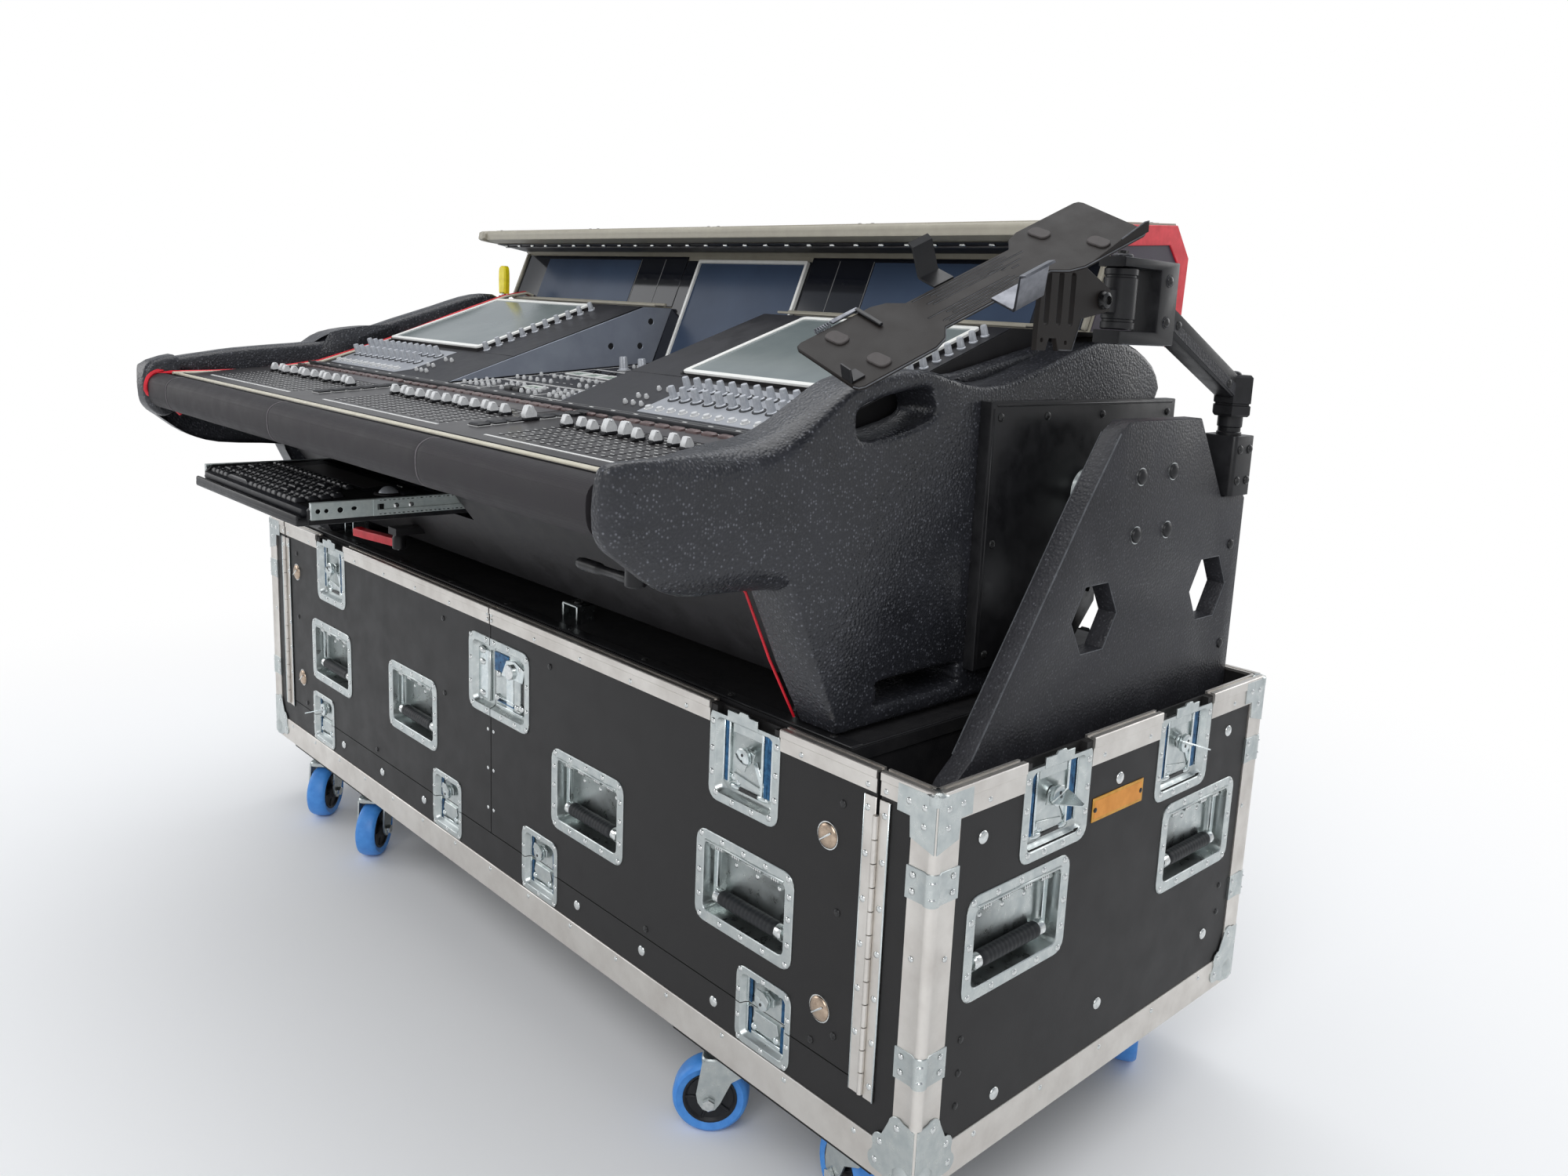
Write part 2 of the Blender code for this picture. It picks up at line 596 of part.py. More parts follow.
def make_keyboard_drawer():
    """A tray with two side flanges that run on into the fixed channels."""
    low_x, high_x = DRAWER_X
    front, rear = DRAWER_Y
    top = DRAWER_Z + DRAWER_BOARD
    board = box((low_x, front, DRAWER_Z), (high_x, rear, top))
    drawer = add_object("keyboard_drawer", board, moulded_black, (low_x, front, DRAWER_Z))
    for side, x in ((-1, low_x), (1, high_x)):
        flange = sorted((x - side * 0.003, x + side * 0.002))
        member = sorted((x + side * 0.001, x + side * 0.0095))
        combine(drawer, box((flange[0], front + FLANGE_SETBACK, DRAWER_Z + 0.001),
                            (flange[1], SLIDE_REAR, SLIDE_Z[1])), "UNION")
        combine(drawer, box((member[0], front + FLANGE_SETBACK, SLIDE_Z[0]),
                            (member[1], SLIDE_REAR, SLIDE_Z[1] - 0.001)), "UNION")


def make_runner(name, side, x):
    """A fixed C-section channel standing on the floor of the chassis."""
    web_inner = x + side * 0.0105
    web_outer = x + side * 0.0140
    lip = x + side * 0.0040
    low = SLIDE_Z[0] - 0.001
    high = SLIDE_Z[1] + 0.001
    outline = [
        (web_outer, RUNNER_FOOT), (web_outer, high + RUNNER_LIP), (lip, high + RUNNER_LIP), (lip, high),
        (web_inner, high), (web_inner, low), (lip, low), (lip, low - RUNNER_LIP), (web_inner, low - RUNNER_LIP),
        (web_inner, RUNNER_FOOT),
    ]
    add_object(name, prism(outline, *RUNNER_Y, "y"), zinc)


def make_keyboard():
    low_x, high_x = DRAWER_X
    base = DRAWER_Z + DRAWER_BOARD + GAP
    outline = [(-0.588, base), (-0.588, base + 0.013), (-0.400, base + 0.022), (-0.400, base)]
    keyboard = add_object("keyboard", prism(outline, low_x + 0.010, high_x - 0.012), moulded_black,
                          (low_x, DRAWER_Y[0], base))
    ball = bmesh.new()
    bmesh.ops.create_icosphere(ball, subdivisions=2, radius=TRACKBALL_RADIUS,
                               matrix=Matrix.Translation((high_x - 0.047, -0.450, base + 0.016)))
    combine(keyboard, ball, "UNION")


def make_release_lever():
    x, y = RELEASE_PIVOT
    top = NOSE_BOTTOM - GAP
    bottom = RELEASE_LEVER_BOTTOM
    boss = cylinder((x, y, (bottom + top) / 2), 0.012, top - bottom, "z", 16)
    lever = add_object("release_lever", boss, moulded_black, (x, y, top))
    outline = [
        (x, y - 0.008), (x, y + 0.008), (x - 0.065, y + 0.006), (x - 0.101, y + 0.008), (x - 0.109, y),
        (x - 0.101, y - 0.008), (x - 0.065, y - 0.006),
    ]
    combine(lever, prism(outline, bottom + 0.0005, bottom + 0.013, "z"), "UNION")


def make_locking_lever():
    x, y = LOCK_PIVOT
    top = LOCK_LEVER_TOP - GAP
    bottom = LOCK_LEVER_BOTTOM
    boss = cylinder((x, y, (bottom + top) / 2), 0.011, top - bottom, "z", 16)
    lever = add_object("locking_lever", boss, red_plastic, (x, y, top))
    outline = [(x, y - 0.007), (x, y + 0.007), (x - 0.100, y - 0.005), (x - 0.130, y - 0.008),
               (x - 0.138, y - 0.016), (x - 0.130, y - 0.024), (x - 0.100, y - 0.019)]
    combine(lever, prism(outline, bottom + 0.003, bottom + 0.017, "z"), "UNION")


def make_safety_plunger():
    rod_length = 0.050
    grip_length = 0.054
    rod = cylinder((*PLUNGER, PLUNGER_BOTTOM + rod_length / 2), 0.0050, rod_length, "z", 12)
    plunger = add_object("safety_plunger", rod, yellow_plastic, (*PLUNGER, PLUNGER_BOTTOM))
    grip = cylinder((*PLUNGER, PLUNGER_BOTTOM + rod_length - 0.008 + grip_length / 2), 0.0120, grip_length, "z", 16)
    combine(plunger, grip, "UNION")


def make_post_socket():
    half = SOCKET_HALF
    block = box((POST_X - half, POST_Y - half, SOCKET_Z[0]), (POST_X + half, POST_Y + half, SOCKET_Z[1]))
    socket = add_object("post_socket", block, black_metal)
    combine(socket, cylinder((POST_X, POST_Y, 0.910), SOCKET_RADIUS, 0.100, "z", 32))


def make_support_post():
    """Round post with a six-sided collar, a rising boom and a C-shaped yoke for the knuckle."""
    low, high = POST_BOTTOM, COLLAR_Z[0] + 0.005
    post = cylinder((POST_X, POST_Y, (low + high) / 2), POST_RADIUS, high - low, "z", 24)
    support = add_object("support_post", post, black_metal, (POST_X, POST_Y, low))
    combine(support, prism(regular_polygon((POST_X, POST_Y), 0.0275, 6), *COLLAR_Z, "z"), "UNION")
    boom = [(0.296, 0.968), (0.296, 1.002), (0.070, 1.104), (0.070, 1.068)]
    combine(support, prism(boom, POST_X - 0.012, POST_X + 0.014), "UNION")
    x, y = KNUCKLE
    yoke = [
        (0.085, 1.0450), (0.085, 1.1420), (y - 0.020, 1.1420), (y - 0.020, 1.1308),
        (0.046, 1.1308), (0.046, 1.0600), (y - 0.020, 1.0600), (y - 0.020, 1.0450),
    ]
    combine(support, prism(yoke, x - 0.018, x + 0.018), "UNION")


def make_tilt_knuckle():
    x, y = KNUCKLE
    barrel = cylinder((x, y, 1.0954), 0.0195, 0.0700, "z", 20)
    knuckle = add_object("tilt_knuckle", barrel, steel, (x, y, 1.0603))
    tilt_y, tilt_z = TILT_AXIS
    lug = [(y, tilt_z - 0.014), (y, tilt_z + 0.014), (tilt_y, tilt_z + 0.014), (tilt_y - 0.014, tilt_z + 0.007),
           (tilt_y - 0.014, tilt_z - 0.007), (tilt_y, tilt_z - 0.014)]
    combine(knuckle, prism(lug, x - 0.009, x + 0.008), "UNION")
    combine(knuckle, cylinder((x - 0.012, tilt_y, tilt_z), 0.0100, 0.010, "x", 12), "UNION")
    combine(knuckle, cylinder((x + 0.012, tilt_y, tilt_z), 0.0050, 0.014, "x", 12), "UNION")


def make_tablet_tray():
    """An I-shaped plate on a slotted bracket that tilts on the knuckle's bolt."""
    along = (TRAY_REAR_RIGHT - TRAY_FRONT_RIGHT).normalized()
    across = (TRAY_FRONT_RIGHT - TRAY_FRONT_LEFT).normalized()
    out = across.cross(along).normalized()
    across = along.cross(out)
    length = (TRAY_REAR_RIGHT - TRAY_FRONT_RIGHT).length
    width = (TRAY_FRONT_RIGHT - TRAY_FRONT_LEFT).length
    frame = Matrix((
        (across.x, along.x, out.x, TRAY_FRONT_RIGHT.x),
        (across.y, along.y, out.y, TRAY_FRONT_RIGHT.y),
        (across.z, along.z, out.z, TRAY_FRONT_RIGHT.z),
        (0.0, 0.0, 0.0, 1.0),
    ))
    bar = 0.110
    waist = 0.020
    corner = 0.008
    plate = [
        (-corner, 0.0), (0.0, corner), (0.0, bar - corner), (-waist, bar + corner),
        (-waist, length - bar - corner), (0.0, length - bar + corner), (0.0, length - corner), (-corner, length),
    ]
    plate += [(-width - a, b) for a, b in reversed(plate)]
    shape = prism(plate, -TRAY_THICKNESS, 0.0, "z")
    bmesh.ops.transform(shape, matrix=frame, verts=shape.verts)
    x = KNUCKLE[0]
    tray = add_object("tablet_tray", shape, black_metal, (x, *TILT_AXIS))
    bracket = [
        (-0.052, 1.080), (-0.052, 1.104), (-0.104, 1.126), (-0.104, 1.180), (-0.182, 1.1365),
        (-0.182, 1.035), (-0.118, 1.035), (-0.104, 1.070),
    ]
    inner = x + 0.0085
    outer = inner + 0.006
    combine(tray, prism(bracket, inner, outer), "UNION")
    holes = bmesh.new()
    cylinder((inner, *TILT_AXIS), 0.0056, 0.040, "x", 16, holes)
    for y in (-0.168, -0.146, -0.124):
        prism(rounded_rectangle((y, 1.084), (0.008, 0.056), 0.0035), inner - 0.01, outer + 0.01, "x", holes)
    combine(tray, holes)


make_case_shell()
for label, hand in (("left", -1), ("right", 1)):
    make_door("door_" + label, hand)
    make_wing("top_latch_wing_" + label, hand * TOP_LATCH[0], TOP_LATCH[1])
    for place, x in zip(("inner", "outer"), LOW_LATCH_X):
        make_wing("low_latch_wing_%s_%s" % (label, place), hand * x, DOOR_BOTTOM + LOW_WING_RISE)
    for place, x in zip(("inner", "outer"), FRONT_HANDLE_X):
        make_bail("front_bail_%s_%s" % (label, place), (hand * x, FRONT, FRONT_HANDLE_Z), (1, 0, 0), (0, -1, 0))
    for place, y in (("front", -END_HANDLE_Y), ("rear", END_HANDLE_Y)):
        make_bail("end_bail_%s_%s" % (label, place), (hand * END, y, END_HANDLE_Z), (0, 1, 0), (hand, 0, 0))
    make_caster_board("caster_board_" + label, hand)
    make_arm_plate("arm_plate_" + label, hand)
    make_pivot_hub("pivot_hub_" + label, hand)
    make_pivot_bracket("pivot_bracket_" + label, hand)
    make_bumper("bumper_" + label, hand)
    make_touch_module("touch_module_" + label, hand)
make_deck_box()

caster_yaws = {
    "caster_left_outer_front": (-CASTER_X[1], -CASTER_Y, -45.0),
    "caster_left_inner_front": (-CASTER_X[0], -CASTER_Y, -45.0),
    "caster_right_inner_front": (CASTER_X[0], -CASTER_Y, 225.0),
    "caster_right_outer_front": (CASTER_X[1], -CASTER_Y, 165.0),
    "caster_left_outer_rear": (-CASTER_X[1], CASTER_Y, 200.0),
    "caster_left_inner_rear": (-CASTER_X[0], CASTER_Y, -25.0),
    "caster_right_inner_rear": (CASTER_X[0], CASTER_Y, 205.0),
    "caster_right_outer_rear": (CASTER_X[1], CASTER_Y, -60.0),
}
for caster_name, (x, y, yaw) in caster_yaws.items():
    make_caster(caster_name, x, y, yaw)

make_chassis()
make_armrest()
make_screen_hood()
make_keyboard_drawer()
make_runner("drawer_runner_left", -1, DRAWER_X[0])
make_runner("drawer_runner_right", 1, DRAWER_X[1])
make_keyboard()
make_release_lever()
make_locking_lever()
make_safety_plunger()
make_post_socket()
make_support_post()
make_tilt_knuckle()
make_tablet_tray()
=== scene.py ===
# Mixer flip case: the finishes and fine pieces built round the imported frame. Metres, +Z up; mm() takes
# millimetres.
import bpy
import bmesh
import json
import math
from functools import lru_cache
from mathutils import Matrix, Vector

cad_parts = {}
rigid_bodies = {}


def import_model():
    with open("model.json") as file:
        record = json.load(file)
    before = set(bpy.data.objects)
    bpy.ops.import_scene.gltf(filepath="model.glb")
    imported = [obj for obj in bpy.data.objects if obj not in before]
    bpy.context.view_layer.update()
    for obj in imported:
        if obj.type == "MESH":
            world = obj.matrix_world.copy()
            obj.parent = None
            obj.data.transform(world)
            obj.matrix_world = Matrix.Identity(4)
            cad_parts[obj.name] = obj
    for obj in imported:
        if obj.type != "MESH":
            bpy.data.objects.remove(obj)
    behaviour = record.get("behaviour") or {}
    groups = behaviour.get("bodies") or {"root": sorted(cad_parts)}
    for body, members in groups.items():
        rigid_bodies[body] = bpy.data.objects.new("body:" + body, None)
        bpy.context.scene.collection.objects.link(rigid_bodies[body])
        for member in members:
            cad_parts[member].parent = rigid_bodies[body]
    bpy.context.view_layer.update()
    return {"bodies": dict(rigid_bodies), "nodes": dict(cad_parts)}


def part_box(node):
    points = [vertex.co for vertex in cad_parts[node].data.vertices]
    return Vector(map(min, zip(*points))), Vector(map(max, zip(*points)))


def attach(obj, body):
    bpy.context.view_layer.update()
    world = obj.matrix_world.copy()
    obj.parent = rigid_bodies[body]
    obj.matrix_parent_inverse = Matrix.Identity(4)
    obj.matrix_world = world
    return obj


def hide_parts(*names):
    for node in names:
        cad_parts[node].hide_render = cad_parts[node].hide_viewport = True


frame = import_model()
shellLow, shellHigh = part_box("case_shell")
caseCentre = Vector(((shellLow.x + shellHigh.x) / 2,
    (shellLow.y + shellHigh.y) / 2, 0))  # places below count from here
sides = {"left": -1, "right": 1}


# Studio: camera, lamps, world and floor
viewpoint = dict(place=(1.6079, -1.0699, 1.0615), turn=(79.557, -3.076, 44.849), lens=27.49,
    shift=(-0.0506, -0.0333))
cameraData = bpy.data.cameras.new("camera")
cameraData.lens = viewpoint["lens"]
cameraData.sensor_width = 36.0
cameraData.shift_x, cameraData.shift_y = viewpoint["shift"]
camera = bpy.data.objects.new("camera", cameraData)
camera.location = viewpoint["place"]
camera.rotation_euler = [math.radians(a) for a in viewpoint["turn"]]
bpy.context.scene.collection.objects.link(camera)
bpy.context.scene.camera = camera
bpy.context.scene.view_settings.view_transform = "Standard"

lamps = {  # name: place, aimed at, size, power
    "key": ((2.2, -2.6, 3.0), (0, 0, 0.6), 2.4, 62),
    "top": ((-0.4, 0.3, 3.6), (0, 0, 0.8), 3.0, 52),
    "left fill": ((-3.4, -2.2, 2.0), (0, 0, 0.6), 2.4, 30),
    "rear fill": ((1.2, 3.6, 2.4), (0, 0, 0.6), 2.4, 34),
}


def addLamps():
    for name, (place, aim, size, power) in lamps.items():
        data = bpy.data.lights.new(name, "AREA")
        data.size = size
        data.energy = power
        lamp = bpy.data.objects.new(name, data)
        lamp.location = place
        lamp.rotation_euler = (Vector(aim) - Vector(place)).to_track_quat("-Z", "Y").to_euler()
        bpy.context.scene.collection.objects.link(lamp)


def toLinear(colour):
    # screen colour, 0 to 255, to the values that a shader takes
    return [c / 255 / 12.92 if c <= 10 else ((c / 255 + 0.055) / 1.055) ** 2.4 for c in colour] + [1.0]


def addNode(tree, kind, **settings):
    node = tree.nodes.new("ShaderNode" + kind)
    for key, value in settings.items():
        if key in node.inputs:
            node.inputs[key].default_value = value
        else:
            setattr(node, key, value)
    return node


def addWorld():
    world = bpy.data.worlds.new("studio")
    bpy.context.scene.world = world
    world.use_nodes = True
    tree = world.node_tree
    tree.nodes.clear()
    link = tree.links.new
    spot = addNode(tree, "TexCoord")
    split = addNode(tree, "SeparateXYZ")
    link(spot.outputs["Generated"], split.inputs[0])
    ramp = addNode(tree, "ValToRGB")
    stops = ramp.color_ramp.elements
    stops[0].position, stops[0].color = 0.3, (0.62, 0.62, 0.62, 1)
    stops[1].position, stops[1].color = 0.52, (0.98, 0.98, 0.98, 1)
    high = stops.new(0.78)
    high.color = (0.46, 0.5, 0.56, 1)
    zenith = stops.new(1.0)
    zenith.color = (0.78, 0.8, 0.83, 1)
    lift = addNode(tree, "MapRange")
    lift.inputs["From Min"].default_value = -1.0
    link(split.outputs["Z"], lift.inputs["Value"])
    link(lift.outputs["Result"], ramp.inputs["Fac"])
    studio = addNode(tree, "Background", Strength=0.78)
    link(ramp.outputs["Color"], studio.inputs["Color"])
    white = addNode(tree, "Background", Color=(1, 1, 1, 1), Strength=1.0)
    path = addNode(tree, "LightPath")
    mix = addNode(tree, "MixShader")
    link(path.outputs["Is Camera Ray"], mix.inputs[0])
    link(studio.outputs[0], mix.inputs[1])
    link(white.outputs[0], mix.inputs[2])
    link(mix.outputs[0], addNode(tree, "OutputWorld").inputs[0])


def addFloor():
    bm = bmesh.new()
    bmesh.ops.create_grid(bm, x_segments=1, y_segments=1, size=9.0)
    mesh = bpy.data.meshes.new("floor")
    bm.to_mesh(mesh)
    bm.free()
    floor = bpy.data.objects.new("floor", mesh)
    bpy.context.scene.collection.objects.link(floor)
    paint = bpy.data.materials.new("pale floor")
    paint.use_nodes = True
    tree = paint.node_tree
    link = tree.links.new
    surface = tree.nodes["Principled BSDF"]
    surface.inputs["Base Color"].default_value = (0.9, 0.9, 0.9, 1)
    surface.inputs["Roughness"].default_value = 0.7
    glow = addNode(tree, "Emission", Color=(1, 1, 1, 1), Strength=1.0)
    spot = addNode(tree, "TexCoord")
    far = addNode(tree, "VectorMath", operation="LENGTH")
    link(spot.outputs["Object"], far.inputs[0])
    fade = addNode(tree, "MapRange", interpolation_type="SMOOTHSTEP")
    fade.inputs["From Min"].default_value = 1.0
    fade.inputs["From Max"].default_value = 2.6
    link(far.outputs["Value"], fade.inputs["Value"])
    path = addNode(tree, "LightPath")
    seen = addNode(tree, "Math", operation="MULTIPLY")
    link(path.outputs["Is Camera Ray"], seen.inputs[0])
    link(fade.outputs["Result"], seen.inputs[1])
    mix = addNode(tree, "MixShader")
    link(seen.outputs[0], mix.inputs[0])
    link(surface.outputs[0], mix.inputs[1])
    link(glow.outputs[0], mix.inputs[2])
    link(mix.outputs[0], tree.nodes["Material Output"].inputs["Surface"])
    mesh.materials.append(paint)


addLamps()
addWorld()
addFloor()
print("stage is set")


# Finishes: two tones as screen values, roughness and its spread, the size of the clouds between the tones,
# and noise, pebble or weave for a grain of that size and height in metres
finishes = {
    "laminate": dict(tones=((31, 30, 30), (38, 37, 37)), rough=(0.44, 0.08), spec=0.26, cloud=0.05,
        noise=(0.0016, 0.00012)),
    "plywood": dict(tones=((29, 29, 31), (38, 37, 38)), rough=(0.6, 0.1), spec=0.22, cloud=0.03,
        noise=(0.002, 0.0002), stretch=(0.15, 1, 1)),
    "railX": dict(tones=((224, 220, 214), (208, 203, 197)), metal=1, rough=(0.4, 0.08), cloud=0.06,
        noise=(0.0011, 0.00006), stretch=(0.03, 1, 1)),
    "railY": dict(tones=((224, 220, 214), (208, 203, 197)), metal=1, rough=(0.4, 0.08), cloud=0.06,
        noise=(0.0011, 0.00006), stretch=(1, 0.03, 1)),
    "railZ": dict(tones=((226, 222, 216), (210, 205, 199)), metal=1, rough=(0.4, 0.08), cloud=0.06,
        noise=(0.0011, 0.00006), stretch=(1, 1, 0.03)),
    "zinc": dict(tones=((200, 205, 203), (184, 191, 191)), metal=1, rough=(0.3, 0.1), cloud=0.014,
        noise=(0.005, 0.00005)),
    "brightZinc": dict(tones=((222, 228, 227), (202, 212, 214)), metal=1, rough=(0.2, 0.08), cloud=0.008,
        noise=(0.005, 0.00004)),
    "slideZinc": dict(tones=((196, 204, 201), (178, 188, 187)), metal=0.45, rough=(0.42, 0.1), cloud=0.01,
        noise=(0.005, 0.00004)),
    "blueZinc": dict(tones=((58, 104, 142), (36, 64, 96)), metal=1, rough=(0.22, 0.08), cloud=0.008),
    "rivet": dict(tones=((226, 228, 226), (200, 204, 204)), metal=1, rough=(0.18, 0.06), cloud=0.004),
    "bronze": dict(tones=((196, 176, 156), (168, 148, 130)), metal=1, rough=(0.22, 0.08), cloud=0.008,
        noise=(0.0016, 0.00004)),
    "brass": dict(tones=((214, 160, 70), (196, 140, 54)), metal=0.7, rough=(0.34, 0.08), cloud=0.01,
        noise=(0.0008, 0.00004), stretch=(1, 0.05, 1)),
    "brassField": dict(tones=((226, 150, 52), (210, 136, 44)), metal=0.3, rough=(0.4, 0.06), cloud=0.02),
    "darkScrew": dict(tones=((34, 34, 35), (60, 60, 60)), metal=0.5, rough=(0.28, 0.1), cloud=0.003),
    # pebble and armPaint: speck is a painted highlight, a lighter colour dotted on pebble tips
    "pebble": dict(tones=((36, 37, 41), (43, 44, 49)), rough=(0.3, 0.1), spec=0.5, cloud=0.06,
        pebble=(0.0034, 0.0006), speck=(128, 130, 138)),
    "armPaint": dict(tones=((40, 40, 43), (48, 48, 52)), rough=(0.38, 0.1), spec=0.34, cloud=0.05,
        pebble=(0.0034, 0.00045), speck=(96, 97, 102)),
    # lighter edge colour: worn paint on the arm boards, painted edge highlights on the tray
    "wornEdge": dict(tones=((92, 94, 98), (64, 66, 70)), rough=(0.5, 0.1), cloud=0.01, noise=(0.001, 0.0001)),
    "blackPaint": dict(tones=((24, 24, 26), (33, 33, 35)), rough=(0.34, 0.1), spec=0.36, cloud=0.02,
        noise=(0.0012, 0.00008)),
    "trayPaint": dict(tones=((27, 23, 21), (33, 29, 27)), rough=(0.46, 0.08), spec=0.2, cloud=0.03,
        noise=(0.0009, 0.00006)),
    "consolePaint": dict(tones=((35, 34, 35), (43, 42, 44)), rough=(0.48, 0.08), spec=0.24, cloud=0.05,
        noise=(0.0012, 0.0001)),
    "wedgePaint": dict(tones=((150, 156, 168), (136, 142, 155)), metal=0.25, rough=(0.34, 0.06), cloud=0.06,
        noise=(0.001, 0.00004)),
    "leather": dict(tones=((40, 38, 40), (48, 45, 48)), rough=(0.58, 0.08), spec=0.22, cloud=0.03,
        weave=(0.0016, 0.00018)),
    "stone": dict(tones=((150, 145, 131), (162, 157, 143)), rough=(0.45, 0.08), cloud=0.03,
        noise=(0.0012, 0.00006)),
    "cream": dict(tones=((206, 201, 184), (190, 184, 166)), rough=(0.42, 0.06), cloud=0.02),
    "hoodSkin": dict(tones=((62, 56, 66), (71, 64, 75)), rough=(0.46, 0.08), spec=0.3, cloud=0.05,
        noise=(0.0015, 0.0001)),
    "red": dict(tones=((218, 26, 46), (196, 20, 38)), rough=(0.42, 0.08), cloud=0.02, noise=(0.001, 0.00008)),
    "yellow": dict(tones=((235, 218, 24), (222, 202, 18)), rough=(0.4, 0.06), cloud=0.01),
    "panel": dict(tones=((46, 44, 45), (54, 52, 53)), rough=(0.3, 0.04), spec=0.34, cloud=0.08),
    "glassBand": dict(tones=((22, 24, 30), (27, 29, 36)), rough=(0.09, 0.01), spec=0.4, cloud=0.3),
    "panelMatt": dict(tones=((36, 36, 39), (43, 43, 47)), rough=(0.42, 0.06), spec=0.28, cloud=0.03,
        noise=(0.001, 0.00005)),
    "print": dict(tones=((222, 222, 220), (206, 206, 204)), rough=(0.5, 0.04), cloud=0.01),
    "seamThread": dict(tones=((96, 92, 95), (82, 78, 81)), rough=(0.6, 0.06), cloud=0.004),
    "silverDark": dict(tones=((84, 82, 84), (70, 68, 70)), metal=0.2, rough=(0.34, 0.06), cloud=0.02),
    "segment": dict(tones=((104, 84, 82), (82, 66, 66)), rough=(0.36, 0.06), cloud=0.01),
    "printDim": dict(tones=((128, 128, 128), (112, 112, 112)), rough=(0.5, 0.04), cloud=0.02),
    "whitePanel": dict(tones=((160, 163, 168), (146, 149, 155)), metal=0.2, rough=(0.4, 0.06), cloud=0.03),
    "darkRed": dict(tones=((74, 22, 34), (54, 18, 28)), rough=(0.3, 0.06), cloud=0.01),
    "knob": dict(tones=((196, 199, 204), (176, 180, 187)), metal=0.35, rough=(0.36, 0.08), cloud=0.004),
    "cap": dict(tones=((212, 213, 213), (196, 197, 198)), rough=(0.35, 0.06), cloud=0.004),
    "button": dict(tones=((22, 22, 25), (31, 31, 34)), rough=(0.38, 0.08), spec=0.32, cloud=0.006),
    "glass": dict(tones=((62, 76, 98), (54, 66, 86)), rough=(0.24, 0.02), spec=0.14, cloud=0.25),
    "touchGlass": dict(tones=((106, 115, 116), (122, 130, 130)), rough=(0.14, 0.02), spec=0.34, cloud=0.16),
    "frameWhite": dict(tones=((236, 236, 232), (226, 226, 222)), rough=(0.35, 0.05), cloud=0.02),
    "lcd": dict(tones=((120, 144, 122), (104, 128, 110)), rough=(0.18, 0.04), cloud=0.01, coat=0.4),
    "rubber": dict(tones=((26, 28, 30), (34, 36, 39)), rough=(0.48, 0.08), spec=0.32, cloud=0.01,
        noise=(0.001, 0.0001)),
    "tyre": dict(tones=((62, 134, 214), (78, 150, 226)), rough=(0.42, 0.08), cloud=0.012,
        noise=(0.0016, 0.0001)),
    "rim": dict(tones=((24, 25, 29), (33, 34, 38)), rough=(0.4, 0.08), spec=0.34, cloud=0.01),
    "key": dict(tones=((30, 30, 33), (39, 39, 43)), rough=(0.36, 0.08), spec=0.34, cloud=0.008),
    "softPad": dict(tones=((66, 62, 61), (76, 72, 71)), rough=(0.6, 0.06), spec=0.25, cloud=0.008,
        noise=(0.0008, 0.00006)),
    "clipMetal": dict(tones=((128, 130, 136), (96, 98, 104)), metal=1, rough=(0.34, 0.08), cloud=0.02),
    # slot: near-black painted shade, laid as thin sheets in openings, vents and gaps
    "slot": dict(tones=((9, 9, 10), (13, 13, 14)), rough=(0.7, 0.04), spec=0.1, cloud=0.02),
}
materials = {}
threadShare = 0.31  # of a wave texture's unit for each thread of the weave


